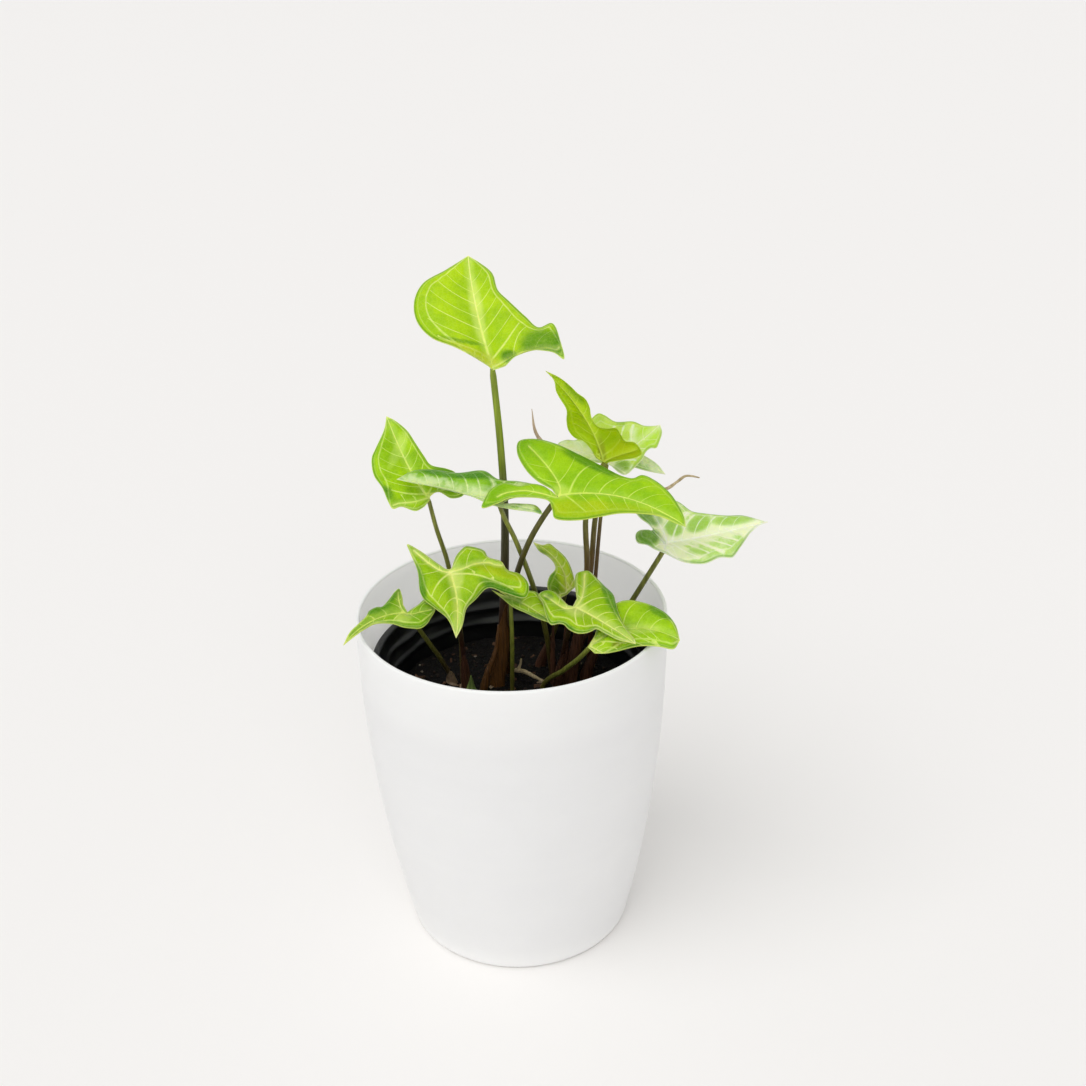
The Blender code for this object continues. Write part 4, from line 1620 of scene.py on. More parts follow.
    def sheet(self) -> tuple[Points, list[tuple[int, ...]]]:
        """Fill the outline with triangles whose edges run along the veins.

        Returns:
            The corners in the flat, and the triangles as counter-clockwise corner numbers.
        """
        lines = [self.rib[:-1, :2]] + [lobe[::2, :2] for lobe in self.lobes]
        lines += [line for line, _ in self.sides]
        spots = [self.margin[:, :2]]
        creases = []
        count = len(self.margin)
        for line in lines:
            creases += [(i, i + 1) for i in range(count, count + len(line) - 1)]
            spots.append(line)
            count += len(line)
        spots.append(self.grid(lines))
        corners, _, faces, *_ = delaunay_2d_cdt(
            [Vector(spot) for spot in np.vstack(spots)], creases,
            [list(range(len(self.margin)))], 1, 0.001)
        flat = np.array([tuple(corner) for corner in corners])
        upright = []
        for a, b, c in faces:
            (ax, ay), (bx, by), (cx, cy) = flat[a], flat[b], flat[c]
            area = (bx - ax) * (cy - ay) - (by - ay) * (cx - ax)
            upright.append((a, b, c) if area > 0 else (a, c, b))
        return flat, upright

    def grid(self, lines: list[Points]) -> Points:
        """Lay a triangular grid of spots within the margin.

        Args:
            lines: The lines that they stay clear of, as they do of the margin.

        Returns:
            The spots.
        """
        spacing = MAKE.grid_spacing
        low = self.margin[:, :2].min(axis=0)
        high = self.margin[:, :2].max(axis=0)
        rows = []
        for i, left in enumerate(np.arange(low[1], high[1], spacing * sin(pi / 3))):
            ahead = np.arange(low[0] + (i % 2) * spacing / 2, high[0], spacing)
            rows.append(np.stack([ahead, np.full_like(ahead, left)], axis=1))
        spots = np.vstack(rows)
        clear = self.edge_distance(spots)
        for line in lines:
            clear = np.minimum(clear, line_distances(spots, line)[0])
        return spots[is_inside(spots, self.margin) & (clear > spacing / 2)]

    def edge_distance(self, spots: Points) -> Points:
        """Each spot's distance in the flat from the margin."""
        return line_distances(spots, np.vstack([self.margin, self.margin[:1]]))[0]

    def heights(self, spots: Points, main: Points, edge: Points) -> Points:
        """Heights over the blade's plane: those of the margin and main veins, bowed between.

        Args:
            spots: The corners in the flat.
            main: Their distances from the main veins.
            edge: Their distances from the margin.

        Returns:
            A height for each corner.
        """
        anchors = np.vstack([self.margin, self.rib, *self.lobes])
        apart = np.linalg.norm(spots[:, None] - anchors[None, :, :2], axis=2)
        weights = (apart ** 2 + 0.01) ** -1.5
        level = weights @ anchors[:, 2] / weights.sum(axis=1)
        width = main + edge + 0.01
        fullness = np.minimum(1.0, width / (MAKE.bow_span * self.length))
        return level + 4 * self.leaf.arch * fullness * main * edge / width ** 2

    def distances(self, spots: Points) -> tuple[Points, ...]:
        """Measure each corner's distances in the flat from the blade's lines.

        Args:
            spots: The corners in the flat.

        Returns:
            The distances from the ribs, with the lobes' own counted as farther; from the side veins,
            in their widths; from the main veins; from the margin; and from the nearest of all.
        """
        rib, _ = line_distances(spots, self.rib)
        lobes = np.min([line_distances(spots, lobe)[0] for lobe in self.lobes], axis=0)
        main = np.minimum(rib, lobes)
        edge = self.edge_distance(spots)
        nearest = np.minimum(main, edge)
        side = np.full(len(spots), MAKE.far)
        for line, strength in self.sides:
            gaps, place = line_distances(spots, line)
            side = np.minimum(side, gaps / (MAKE.side_width * strength * (1.05 - 0.5 * place)))
            nearest = np.minimum(nearest, gaps)
        return np.minimum(rib, lobes * MAKE.lobe_share), side, main, edge, nearest

    def build(self) -> Piece:
        """Make the blade as a closed piece with its distances stored on its corners.

        Returns:
            The new piece.
        """
        spots, faces = self.sheet()
        ribs, side, main, edge, nearest = self.distances(spots)
        along = spots[:, 0] / self.length
        heights = self.heights(spots, main, edge)
        heights += MAKE.quilt * np.clip(nearest / MAKE.quilt_width, 0.0, 1.0) ** 2
        near_rib = np.clip(1.0 - ribs / MAKE.groove_width, 0.0, 1.0) * np.clip(1.1 - along, 0.2, 1.0)
        fill = np.clip(edge / MAKE.margin_taper, 0.0, 1.0)
        half = (MAKE.margin_thickness + (MAKE.thickness - MAKE.margin_thickness) * fill) / 2
        upper = heights + half - MAKE.groove * near_rib * fill
        lower = heights - half - MAKE.ridge * near_rib * fill
        flat = np.vstack([np.column_stack([spots, upper]), np.column_stack([spots, lower])])
        places = self.base + flat @ self.axes
        mesh = bpy.data.meshes.new(self.leaf.name)
        mesh.from_pydata((places * MM).tolist(), [], self.closed(faces, len(spots)))
        for name, values in zip(BLADE_FIELDS, (ribs, along, side, main, edge)):
            store(mesh, name, np.tile(values, 2))
        store(mesh, BLADE_FIELDS[-1], np.repeat((0.0, 1.0), len(spots)))
        across, upward = self.seen_places(places)
        for kind in MarkKind:
            masks = [mark.mask(across, upward) for mark in self.leaf.marks if mark.kind is kind]
            store(mesh, kind.value, np.max(masks, axis=0) if masks else np.zeros(len(places)))
        return add_object(self.leaf.name + "_blade", mesh)

    @staticmethod
    def closed(faces: list[tuple[int, ...]], count: int) -> list[tuple[int, ...]]:
        """Close a sheet with its own underside and a wall round its margin.

        Args:
            faces: The upper face's triangles.
            count: How many corners the upper face has.

        Returns:
            All the faces, where the underside's corners follow the upper face's.
        """
        edges = {(face[i], face[(i + 1) % 3]) for face in faces for i in range(3)}
        walls = [(a, a + count, b + count, b) for a, b in edges if (b, a) not in edges]
        under = [tuple(corner + count for corner in reversed(face)) for face in faces]
        return list(faces) + under + walls


def rod_outline(sides: int, channel: float) -> Piece:
    """Draw a rod's outline, round with a channel along one side.

    Args:
        sides: How many corners it has.
        channel: The channel's depth, as a share of the radius.

    Returns:
        A closed curve of one millimetre radius.
    """
    data = bpy.data.curves.new("outline", "CURVE")
    spline = data.splines.new("POLY")
    spline.points.add(sides - 1)
    for i, point in enumerate(spline.points):
        turn = 2 * pi * i / sides
        off = min(turn, 2 * pi - turn)
        reach = MM * (1.0 - channel * np.exp(-(off / 0.5) ** 2))
        point.co = (reach * cos(turn), reach * sin(turn), 0.0, 1.0)
    spline.use_cyclic_u = True
    return add_object("outline", data)


def rod(name: str, line: Points, radii: Points, channel: float) -> Piece:
    """Sweep an outline along a line as a closed mesh piece.

    Args:
        name: The piece's name.
        line: The points of its middle.
        radii: Its radius at each point.
        channel: The depth of the channel along it, as a share of the radius.

    Returns:
        The new piece.
    """
    outline = rod_outline(MAKE.stalk_sides, channel)
    data = bpy.data.curves.new(name, "CURVE")
    data.dimensions = "3D"
    data.bevel_mode = "OBJECT"
    data.bevel_object = outline
    data.use_fill_caps = True
    spline = data.splines.new("POLY")
    spline.points.add(len(line) - 1)
    for point, place, radius in zip(spline.points, line, radii):
        point.co = (*(place * MM), 1.0)
        point.radius = radius
    piece = add_object(name, data)
    select_only(piece)
    bpy.ops.object.convert(target="MESH")
    face_outward(MAKE.merge * MM)
    bpy.data.objects.remove(outline)
    return piece


def stalk_middle(leaf: Leaf) -> Points:
    """Draw the middle of a leaf's stalk, from its rooted end to just under the blade.

    Args:
        leaf: The leaf.

    Returns:
        The line's points.
    """
    foot = np.array(leaf.stalk[0], float)
    rooted = foot - np.array((0.0, 0.0, MAKE.rooted))
    return smooth_line([rooted, *leaf.stalk, leaf.base], MAKE.stalk_steps)


def tapering(radii: tuple[float, float], count: int) -> Points:
    """Radii from the first to the second, thinning fastest near the first."""
    return radii[0] + (radii[1] - radii[0]) * np.linspace(0.0, 1.0, count) ** 0.6


@dataclass(frozen=True)
class Sheath:
    """A dry leaf base that wraps part of a stalk and ends in a point.

    facing is the side that it covers, in degrees. Heights and sizes are in millimetres.
    """

    name: str
    around: str
    facing: float
    top: float
    room: float = 0.5
    flare: float = 1.0
    spread: float = 150.0
    look: DryLook = DryLook.SHEATH
    bottom: float = 123.5
    narrowing: float = 0.9
    ripple: float = 0.05
    thickness: float = 0.35

    def build(self, leaf: Leaf, material: Material) -> None:
        """Wrap the sheath round its stalk.

        Args:
            leaf: The leaf whose stalk it wraps.
            material: Its finish.
        """
        line = stalk_middle(leaf)
        radii = tapering(leaf.radii, len(line))
        deselect_all()
        bpy.ops.mesh.primitive_grid_add(x_subdivisions=14, y_subdivisions=24, size=2.0)
        piece = bpy.context.object
        piece.name = self.name
        for vertex in piece.data.vertices:
            turn = vertex.co.x
            t = (vertex.co.y + 1) / 2
            height = self.bottom + (self.top - self.bottom) * t
            centre = [np.interp(height, line[:, 2], line[:, axis]) for axis in (0, 1)]
            radius = np.interp(height, line[:, 2], radii) + self.room + self.flare * (1 - t) ** 2
            angle = radians(self.facing + turn * self.spread * (1.0 - self.narrowing * t ** 2))
            radius *= 1.0 + self.ripple * sin(9 * turn + 4 * t)
            vertex.co = Vector((centre[0] + radius * cos(angle), centre[1] + radius * sin(angle),
                                height)) * MM
        face_outward()
        modify(piece, "SOLIDIFY", thickness=self.thickness * MM, offset=0.0)
        settle(piece, material, "green_leaf", degrees=60.0)


DARK, GREEN, WARM, BROWN, PALE = MarkKind

LEAVES = (
    Leaf(
        "leaf_top", LeafLook.LIME, StalkLook.TALL,
        base=(-5.3, 12, 294.5), face=(-95, 48), tip=(-11, 51), rib=(-7.5, 28),
        left=((-21, 44.7), (-31.5, 38.5), (-35.5, 30.5), (-34.5, 21.5), (-28, 14, 2),
              (-17, 9.5, 6), (-10, 6, 7), (-5, 3.5, 6), (-2, 1, 3)),
        right=((-6, 48), (0, 43), (2.5, 35.5), (7.5, 30.5), (15, 23.5), (21, 18.5), (27, 20.5, 1),
               (31, 12, 4), (32.5, 4, 7), (28, 7, 6), (23, 8, 6), (16, 8, 5), (10, 5, 6),
               (6, 1, 4)),
        stalk=((-9, 13, 125), (-6, 13, 142), (-4.5, 13, 163), (-3, 13, 190), (-2, 13, 223),
               (-3, 13, 258)),
        radii=(3.2, 1.5),
        marks=(Mark(DARK, (24, 11), (11, 6.5)), Mark(DARK, (8, 5), (4.5, 3), -20),
               Mark(WARM, (-11, 6.5), (16, 3.4), -20),
               Mark(DARK, (-15, 12.5), (12, 0.9), -10, 0.7), Mark(PALE, (-7, 26), (3, 15), 10))),
    Leaf(
        "leaf_upper_left", LeafLook.BRIGHT, StalkLook.OLIVE,
        base=(-38, 14, 229), face=(-80, 42), tip=(-20, 39), rib=(-10, 16),
        left=((-21, 33), (-25, 24), (-27, 19), (-26, 11), (-22, 5), (-19, -2), (-17, -5),
              (-13, -4), (-6, -6), (-2, -4)),
        right=((-16, 37), (-10, 32), (-6, 26), (-2, 20), (1, 16), (9, 14, -3), (13, 12, -5),
               (17, 2, -5), (11, 0, -3), (5, 3), (1, 2)),
        stalk=((-26, 16, 125), (-26, 16, 151), (-28, 16, 174), (-31, 15, 196), (-35, 14, 213)),
        radii=(1.8, 1.1), arch=2.0, fold=8.0,
        marks=(Mark(DARK, (10, 9), (9.5, 6), -15), Mark(DARK, (-22, 2), (5, 4)),
               Mark(PALE, (-14, 24), (2.4, 10), -25))),
    Leaf(
        "leaf_pale_left", LeafLook.STREAKED, StalkLook.OLIVE,
        base=(-4, -8, 236), face=(-95, 72), tip=(-47, 11), rib=(-24, 6.5),
        left=((-40, 9.5, 1), (-31, 8, 2), (-22, 6, 3), (-12, 3, 3), (-4, -0.5, 2),
              (2, -2, 1), (8, -3), (16, -4), (20, -5), (17, -1), (8, 0)),
        right=((-39, 15), (-31, 15.5), (-19, 14), (-7, 15), (0, 11), (10, 10), (17, 8),
               (12, 4), (5, 2)),
        stalk=((19, 20, 125), (16, 10, 159), (11, 2, 186), (3, -4, 215), (-2, -7, 229)),
        radii=(1.7, 1.1), fold=0.0, slot="pale_leaf",
        marks=(Mark(DARK, (18, -4), (2.4, 2.4)), Mark(WARM, (19, 0), (2.8, 2.8)),
               Mark(DARK, (-20, 14), (18, 2.4), -5), Mark(PALE, (-4, 5), (16, 2.8), -12))),
    Leaf(
        "leaf_centre", LeafLook.CENTRE, StalkLook.DARK,
        base=(23.5, -12, 241), face=(-90, 68), tip=(58, -14), rib=(30, -1),
        left=((57, -9), (51, 1), (44, 7), (38, 9.5), (34, 8), (29, 9), (19, 14), (9, 19),
              (-2, 24), (-11, 26), (-18, 25), (-19, 20), (-15, 12), (-10, 7), (-3, 3)),
        right=((54, -12.7), (48, -10, -2), (42, -8.5, -3), (28, -8, -3), (19, -9.5, -3),
               (10, -11, -3), (1, -11, -2), (-2, -10), (-3, -6), (-5, -2), (-22, -1), (-28, -3.5),
               (-35, -5.5), (-33, 0), (-31, 3), (-25, 6), (-18, 4.5), (-12, 5.5), (-7, 4.5),
               (-3, 2)),
        stalk=((-2, 24, 125), (-1, 16, 150), (-0.5, 5, 173), (3, -2, 195), (10, -8, 217),
               (17, -11, 231)),
        radii=(2.0, 1.3), fold=0.0,
        marks=(Mark(WARM, (18, -6.5), (26, 4.4), -3, 0.6),
               Mark(DARK, (15, 15), (14, 2.4), -25), Mark(PALE, (1, 2), (4, 3.5)))),
    Leaf(
        "leaf_upright", LeafLook.OLIVE, StalkLook.RUSSET,
        base=(46, 25, 241), face=(60, 15), tip=(-28, 43.5), rib=(-9.5, 22, -1),
        left=((-21, 40), (-16, 36, -1), (-13, 33, -2), (-9, 30, -2), (-7, 26, -2),
              (-6, 21, -2), (-3, 17, -1), (1, 16, -1), (6, 16), (8, 13), (10, 10), (14, 9.5),
              (16, 8), (18, 4), (15, 2), (9, 1), (3, 0)),
        right=((-24, 39), (-23, 34), (-21.5, 31), (-18, 25), (-18, 20), (-17, 15), (-14, 11.5),
               (-10, 10), (-7, 7), (-4, 2)),
        stalk=((28, 13, 125), (32, 13, 150), (37, 14, 187), (37, 19, 216), (41, 22, 228)),
        radii=(2.0, 1.2), arch=4.0, fold=4.0,
        marks=(Mark(BROWN, (-1, 4), (1.8, 8), 8), Mark(DARK, (-14, 33), (7, 1.8), -50),
               Mark(WARM, (10, 3), (8, 6), -30), Mark(DARK, (4, 10), (7, 3.6), -20, 0.3))),
    Leaf(
        "leaf_pale_back", LeafLook.PALE_LIME, StalkLook.RUSSET,
        base=(48, 40, 234), face=(-90, 55), tip=(26, 18.5), rib=(14, 8.5),
        left=((24, 18), (18, 18), (13, 20), (4, 20), (-1, 23), (-4, 24), (-7, 22), (-12, 15),
              (-15, 11), (-20, 11), (-24, 9), (-22, 5), (-13, 1), (-5, 0)),
        right=((27, 15), (26, 11), (24, 7), (21.5, 7), (19, 5), (17.5, 2), (13, -3), (9, -6),
               (6, -5), (2, -1.5)),
        stalk=((30, 27, 125), (34, 26, 150), (39, 24, 182), (42, 29, 211), (45, 34, 222)),
        radii=(2.0, 1.2), arch=2.0, fold=4.0, slot="pale_leaf",
        marks=(Mark(GREEN, (21, 12), (7, 7)), Mark(DARK, (-3, 21), (2, 2), 0, 0.25),
               Mark(DARK, (7, 19), (2.4, 1.4), 0, 0.6), Mark(DARK, (7, -2), (4.4, 2.8), 20),
               Mark(PALE, (-19, 5), (11, 4.4)))),
    Leaf(
        "leaf_pale_right", LeafLook.CREAM, StalkLook.OLIVE,
        base=(75, 5, 207), face=(-90, 68), tip=(48, 10), rib=(20, 3.5),
        left=((44, 11), (36, 13), (28, 13), (18, 14), (12, 15), (4, 20), (-4, 18), (-11, 17),
              (-15, 15), (-13, 12), (-9, 9), (-7, 7)),
        right=((44, 8.5), (40, 5), (35, -2), (31, -7), (29, -7), (25, -7), (20.5, -9),
               (17, -10), (9.5, -9.5), (5, -8), (-1, -5), (-6, -3), (-9.5, -1), (-14, 0),
               (-15, 4), (-13, 6), (-8, 6), (-5, 4)),
        stalk=((36, 18, 125), (41, 17, 139), (49, 14, 154), (58, 11, 171), (65, 9, 185),
               (73, 7, 201)),
        radii=(1.8, 1.2), slot="pale_leaf",
        marks=(Mark(DARK, (-9, 3), (5.5, 4), -10), Mark(DARK, (-8, 12), (6, 3), -25),
               Mark(GREEN, (3, 7), (4.3, 3.6), -30), Mark(GREEN, (15, 9), (6, 3.6), 25, 0.9),
               Mark(GREEN, (32, 11), (10, 2.6), 5, 0.8), Mark(GREEN, (14, -4), (5, 2), 5, 0.4))),
    Leaf(
        "leaf_over_rim_left", LeafLook.SMALL, StalkLook.OLIVE,
        base=(-49, -22, 187), face=(-90, 72), tip=(-29, -15), rib=(-16, -4),
        left=((-24, -11), (-19, -7.5), (-14, -5), (-6, -5), (-1, -6.5), (3, -7), (7, -7),
              (10, -5), (12, -2), (14, 2), (11.5, 5), (9, 6.5), (6, 4), (3, 2)),
        right=((-26, -9), (-22, -5), (-18, -1), (-17, 1), (-13, 3), (-11, 3), (-8, 6), (-5, 10),
               (-3, 11.5), (-1.5, 8), (-1, 4)),
        stalk=((-32, 16, 125), (-35, 4, 144), (-40, -9, 163), (-44, -17, 176)),
        radii=(1.5, 1.0), fold=8.0,
        marks=(Mark(DARK, (-7, 8), (6.5, 2.4), 40), Mark(DARK, (-13, 2), (7.5, 1.4), 20),
               Mark(GREEN, (9, -1), (6.5, 4.7), 20), Mark(PALE, (-1, -2), (3.6, 2.4)))),
    Leaf(
        "leaf_front_left", LeafLook.FRONT, StalkLook.DARK,
        base=(-28, -12, 203), face=(-90, 50), tip=(3, -31), rib=(3.5, -14),
        left=((6, -25), (8, -17), (12, -13), (18, -7.5), (26, -10), (35.5, -12), (37, -6),
              (33, -1), (27, 1), (24, 5), (18, 7), (16, 10), (7.5, 12), (6, 11), (3, 7.5),
              (1, 2)),
        right=((-1, -22), (-7, -17), (-12, -13), (-14, -9), (-15, 0), (-19, 10), (-20, 13),
               (-14, 10), (-7, 5), (-2, 1.5)),
        stalk=((-24, 9, 125), (-25, 3, 156), (-27, -3, 181)),
        radii=(1.7, 1.0),
        marks=(Mark(WARM, (25, 0), (14, 2.6), -15, 0.6), Mark(DARK, (25, -9), (12, 3), -28),
               Mark(DARK, (-14, -4), (2.4, 9), 15), Mark(PALE, (3, -2), (3.6, 7)))),
    Leaf(
        "leaf_front_small", LeafLook.BRIGHT, StalkLook.GREEN,
        base=(0, -10, 187), face=(-90, 65), tip=(20, -12), rib=(10, -5),
        left=((18, -6), (15.5, -1.5), (12, 3), (6, 4), (-2, 6), (-8.5, 7), (-5, 3)),
        right=((14, -10), (7.5, -7), (1, -4), (-4, 0), (-9, 4)),
        stalk=((-1, 6, 125), (0, -6, 163)),
        radii=(1.4, 1.0), arch=2.0, fold=5.0,
        marks=(Mark(DARK, (0, 1), (6.5, 3.4), -30), Mark(DARK, (16, -10), (9, 1.6), -20))),
    Leaf(
        "leaf_front_right", LeafLook.FRONT, StalkLook.DARK,
        base=(30, -21, 187.5), face=(-90, 78), tip=(28.5, -17), rib=(13, -7),
        left=((28, -15), (25, -11), (22, -6), (20, -1), (18, 6), (14, 10), (10, 14), (6.5, 17),
              (4, 17), (1, 16), (0, 12), (0.5, 7.5), (1, 4)),
        right=((20, -15), (16, -13), (14, -12), (10, -10), (8, -11), (5, -12), (1, -12),
               (-3, -10), (-5, -8), (-7, -7.5), (-11, -8), (-14, -2), (-15, 2), (-17, 6),
               (-13, 8), (-9, 7), (-6, 4), (-3, 1)),
        stalk=((22, 9, 125), (25, 0, 152), (28, -12, 173)),
        radii=(1.7, 1.1), fold=5.0,
        marks=(Mark(DARK, (16, 6), (2.4, 11), 22), Mark(DARK, (-12, 5), (2, 1.6)),
               Mark(DARK, (-7, -9), (7, 1.6), -10), Mark(PALE, (0, 0), (5.5, 4), -20))),
    Leaf(
        "leaf_over_rim_right", LeafLook.BRIGHT, StalkLook.GREEN,
        base=(36.5, -41, 178), face=(-90, 80), tip=(41, 3), rib=(19, 8),
        left=((39, 10), (35, 15), (30, 18), (24, 20), (18, 21), (12, 20), (7, 16), (4, 11),
              (2, 5)),
        right=((38, -1), (32, 0), (26, 0.5), (20.5, 0), (12.5, -2), (7, -3), (2, -3)),
        stalk=((14, 8, 125), (25, -15, 150), (32, -32, 167)),
        radii=(1.5, 1.1), arch=4.0, fold=5.0,
        marks=(Mark(BROWN, (12, 1), (2.2, 1.2)), Mark(DARK, (33, 16), (7, 2.6), -25),
               Mark(PALE, (23, 8), (9, 1.8)))),
    Leaf(
        "leaf_inner_small", LeafLook.INNER, StalkLook.OLIVE,
        base=(26.5, 18, 174), face=(-60, 30), tip=(-16, 25), rib=(-3, 14),
        left=((-13, 20.5), (-9, 18), (-6, 15), (-5, 12), (-8, 8), (-9, 3), (-7, -1), (-3, -3)),
        right=((-11.5, 23.6), (-8, 24.2), (-5, 22), (-1, 18.5), (1.5, 15), (4, 8), (5, 3)),
        stalk=((13, 29, 125), (20, 25, 146), (24, 21, 162)),
        radii=(1.4, 1.0), arch=2.0, fold=5.0,
        marks=(Mark(DARK, (-6, 5), (3, 7), 15), Mark(DARK, (-13, 20), (4.6, 1.8), -25))),
    Leaf(
        "leaf_young", LeafLook.YOUNG, StalkLook.RUSSET,
        base=(50, 57, 232), face=(-80, 60), tip=(28, -11), rib=(14, -3.5),
        left=((24, -6), (16, -1), (8, 2), (2, 2)),
        right=((22, -10), (14, -8), (7, -5), (1, -3)),
        stalk=((38, 31, 125), (41, 36, 160), (45, 46, 200), (48, 54, 222)),
        radii=(1.4, 0.9), arch=1.0, fold=10.0, slot="pale_leaf"),
)


@dataclass(frozen=True)
class Shoot:
    """A dry shoot or twig that thins along its points, and the nodes that it is part of."""

    name: str
    look: DryLook
    points: Rows
    radii: tuple[float, float]
    nodes: tuple[str, ...] = ()
    steps: int = 40
    knobs: float = 0.22
    knob_scale: float = 0.35
    channel: float = 0.1

    def build(self, material: Material) -> None:
        """Make the shoot, slightly knobbly.

        Args:
            material: Its finish.
        """
        line = smooth_line(self.points, self.steps)
        radii = self.radii[0] + (self.radii[1] - self.radii[0]) * np.linspace(0, 1, len(line)) ** 2
        knobs = [1.0 + self.knobs * noise.noise(Vector(place) * self.knob_scale) for place in line]
        piece = rod(self.name, line, radii * knobs, self.channel)
        settle(piece, material, "green_leaf", *self.nodes)


@dataclass(frozen=True)
class Plant:
    """The leaves, their dry shoots and the sheaths at their feet."""

    leaves: tuple[Leaf, ...] = LEAVES
    shoots: tuple[Shoot, ...] = (
        Shoot("dry_shoot_tip", DryLook.SHOOT,
              ((38, 20, 219), (27, 27, 238), (14, 30, 254), (12, 30, 267)), (1.5, 0.15),
              ("leaf_upright",)),
        Shoot("dry_twig", DryLook.TWIG,
              ((44, 33, 219), (60, 33, 220), (77, 34, 222), (82, 35, 225), (86, 35, 228),
               (89, 35, 228), (93, 35, 227)), (1.0, 0.35), ("leaf_pale_back",)),
        Shoot("tall_foot_left", DryLook.AMBER,
              ((-6.5, 12, 160), (-9, 9.5, 146), (-13.5, 8, 134), (-16, 7.5, 123.5)), (1.0, 2.4)),
        Shoot("tall_foot_right", DryLook.AMBER,
              ((-5, 13, 152), (-4.5, 16.5, 141), (-4, 21, 132), (-3, 25, 123.5)), (0.9, 1.7)),
        Shoot("dry_base_left", DryLook.SHEATH,
              ((19.5, 14.5, 123.5), (19.5, 13.5, 141), (20, 12.5, 160)), (1.7, 0.4)),
        Shoot("dry_base_middle", DryLook.SHEATH,
              ((25, 15, 123.5), (26, 14, 145), (27.5, 13, 168)), (2.0, 0.4)),
        Shoot("dry_base_right", DryLook.SHEATH,
              ((27, 20, 123.5), (31.5, 18.5, 137), (37, 17.5, 151)), (1.5, 0.6)),
        Shoot("fallen_twig", DryLook.TWIG,
              ((0.5, 22.5, 127), (5, 18.5, 128.5), (10, 14, 128.2), (15, 11.5, 126.5)), (1.1, 0.7)),
        Shoot("side_twig", DryLook.TWIG,
              ((1.5, 21.5, 127.5), (3, 21.5, 131), (3.5, 22, 134)), (0.8, 0.4), steps=14),
    )
    sheaths: tuple[Sheath, ...] = (
        Sheath("sheath_tall", "leaf_top", -60.0, 172.0, flare=0.8, look=DryLook.AMBER),
        Sheath("sheath_upright", "leaf_upright", -60.0, 176.0, room=0.8),
        Sheath("sheath_back", "leaf_pale_back", -100.0, 168.0, room=0.8),
        Sheath("sheath_right", "leaf_pale_right", -120.0, 143.0, room=0.7),
        Sheath("sheath_inner", "leaf_inner_small", 240.0, 146.0, room=0.7),
        Sheath("sheath_front_right", "leaf_front_right", -80.0, 150.0, room=0.6),
        Sheath("sheath_front_left", "leaf_front_left", -80.0, 148.0, room=0.4),
        Sheath("bud_over_rim_left", "leaf_over_rim_left", -40.0, 135.0, flare=1.4,
               look=DryLook.BUD),
        Sheath("sprout_front_left", "leaf_front_left", -20.0, 134.0, room=1.4, flare=2.2,
               spread=80.0, look=DryLook.SPROUT),
    )

    def build_leaf(self, leaf: Leaf, dressed: dict[Enum, Material]) -> None:
        """Make one leaf's blade and stalk.

        Args:
            leaf: The leaf.
            dressed: The materials made so far, by look.
        """
        for look in (leaf.look, leaf.stalk_look):
            if look not in dressed:
                dressed[look] = look.value.dress()
        shape = Blade(leaf)
        settle(shape.build(), dressed[leaf.look], leaf.slot, leaf.name, degrees=60.0)
        line = stalk_middle(leaf)
        radii = tapering(leaf.radii, len(line))
        radii[-1] *= MAKE.stalk_end
        line[-1] -= shape.axes[2] * MAKE.stalk_inset
        stalk = rod(leaf.name + "_stalk", line, radii, MAKE.channel)
        settle(stalk, dressed[leaf.stalk_look], leaf.slot, leaf.name)

    def build(self) -> None:
        """Make all the leaves, the dry shoots and the sheaths."""
        dressed: dict[Enum, Material] = {}
        for leaf in self.leaves:
            self.build_leaf(leaf, dressed)
        dry = {look: look.value.dress() for look in DryLook}
        for shoot in self.shoots:
            shoot.build(dry[shoot.look])
        by_name = {leaf.name: leaf for leaf in self.leaves}
        for sheath in self.sheaths:
            sheath.build(by_name[sheath.around], dry[sheath.look])


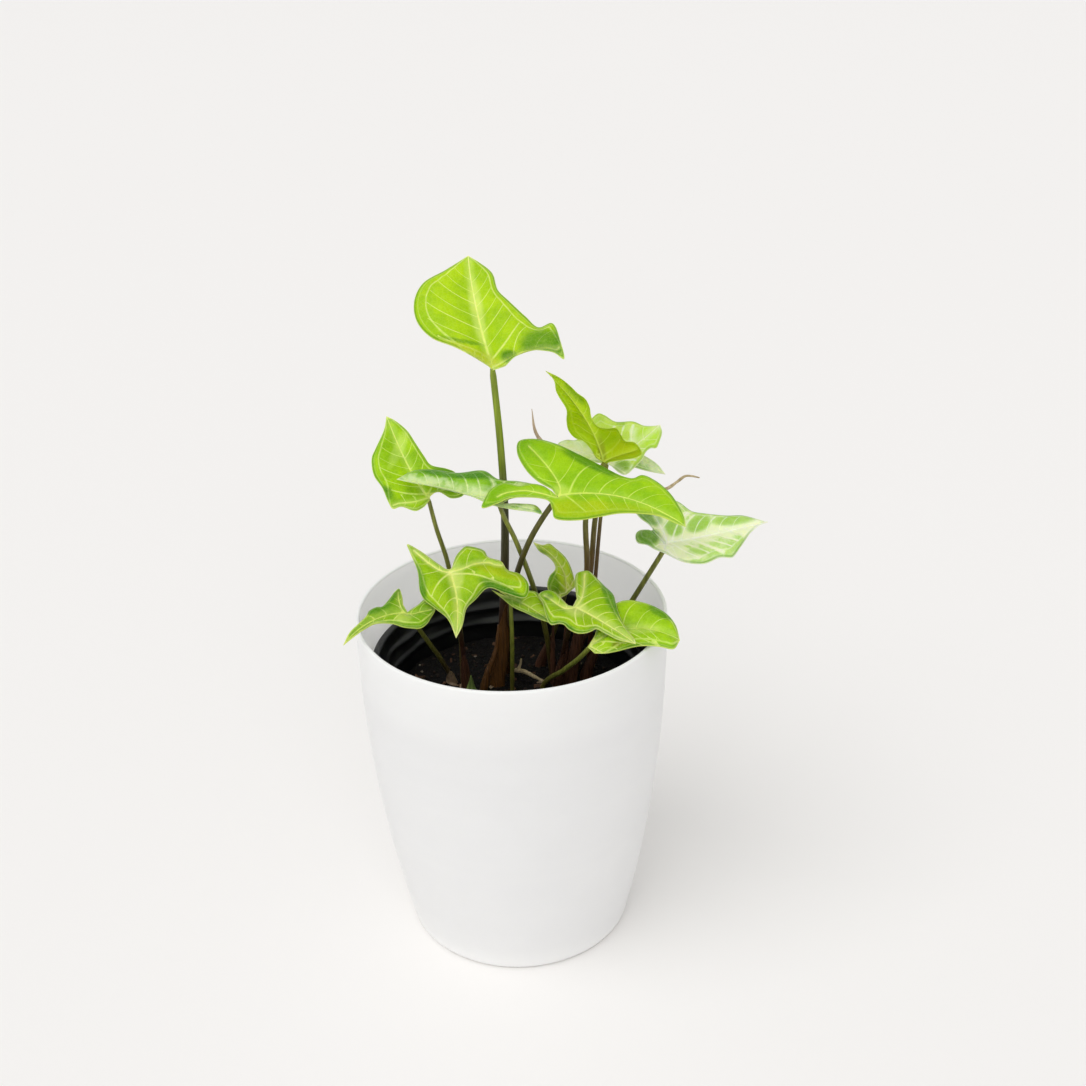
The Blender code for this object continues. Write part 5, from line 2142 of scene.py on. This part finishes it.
@dataclass(frozen=True)
class Studio:
    """The plain pale floor, the soft light and the camera."""

    floor_size: float = 24.0
    floor_colour: str = "F4F2F0"
    floor_shade: str = "EAE8E5"
    floor_patch_scale: float = 0.8
    floor_patch_share: float = 0.1
    floor_roughness: float = 0.8
    sky_colour: str = "FFFFFF"
    sky_strength: float = 0.66
    key_strength: float = 1.0
    key_softness: float = 50.0
    key_from: tuple[float, float, float] = (-0.65, -0.6, 1.4)
    fill_strength: float = 0.5
    fill_softness: float = 50.0
    fill_from: tuple[float, float, float] = (0.02, -1.0, 0.55)

    def build_floor(self) -> None:
        """Lay the floor, which isn't part of the object."""
        deselect_all()
        bpy.ops.mesh.primitive_plane_add(size=self.floor_size)
        floor = bpy.context.object
        floor.name = "studio_floor"
        material, tree, shader = new_material("pale_floor")
        patches = tree.noise(tree.object_place(), self.floor_patch_scale)
        share = tree.times(patches, self.floor_patch_share)
        colour = tree.mix(share, tint(self.floor_colour), tint(self.floor_shade))
        tree.feed(shader.inputs["Base Color"], colour)
        shader.inputs["Roughness"].default_value = self.floor_roughness
        floor.data.materials.append(material)

    def build_light(self) -> None:
        """Light the scene softly from the front left, with an even sky."""
        world = bpy.data.worlds.new("studio_sky")
        world.use_nodes = True
        background = world.node_tree.nodes["Background"]
        background.inputs["Color"].default_value = tint(self.sky_colour)
        background.inputs["Strength"].default_value = self.sky_strength
        bpy.context.scene.world = world
        for name, strength, softness, place in (
                ("key_light", self.key_strength, self.key_softness, self.key_from),
                ("fill_light", self.fill_strength, self.fill_softness, self.fill_from)):
            data = bpy.data.lights.new(name, "SUN")
            data.energy = strength
            data.angle = radians(softness)
            light = add_object(name, data)
            light.rotation_euler = Vector(place).to_track_quat("Z", "Y").to_euler()

    def build_camera(self) -> None:
        """Stand the camera where the photograph was taken."""
        data = bpy.data.cameras.new("camera")
        data.sensor_width = SENSOR_WIDTH
        data.lens = SENSOR_WIDTH * FOCAL_PIXELS / PHOTO_PIXELS
        camera = add_object("camera", data)
        turn = Matrix((ACROSS, UPWARD, -LOOK)).transposed()
        camera.matrix_world = Matrix.Translation(Vector(EYE) * MM) @ turn.to_4x4()
        bpy.context.scene.camera = camera

    def build(self) -> None:
        """Set up the camera, the light and the floor."""
        self.build_camera()
        self.build_light()
        self.build_floor()
        bpy.context.scene.view_settings.view_transform = "Standard"


def write_sizes() -> None:
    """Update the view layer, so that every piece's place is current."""
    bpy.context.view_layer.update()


def main() -> None:
    """Build every sub-assembly in order."""
    logging.basicConfig(level=logging.INFO, format="%(name)s %(message)s")
    Studio().build()
    CoverPot().build()
    nursery_pot = NurseryPot()
    nursery_pot.build()
    mix = PottingMix(nursery_pot).build()
    Litter().build(mix)
    Plant().build()
    write_sizes()


if __name__ == "__main__":
    main()
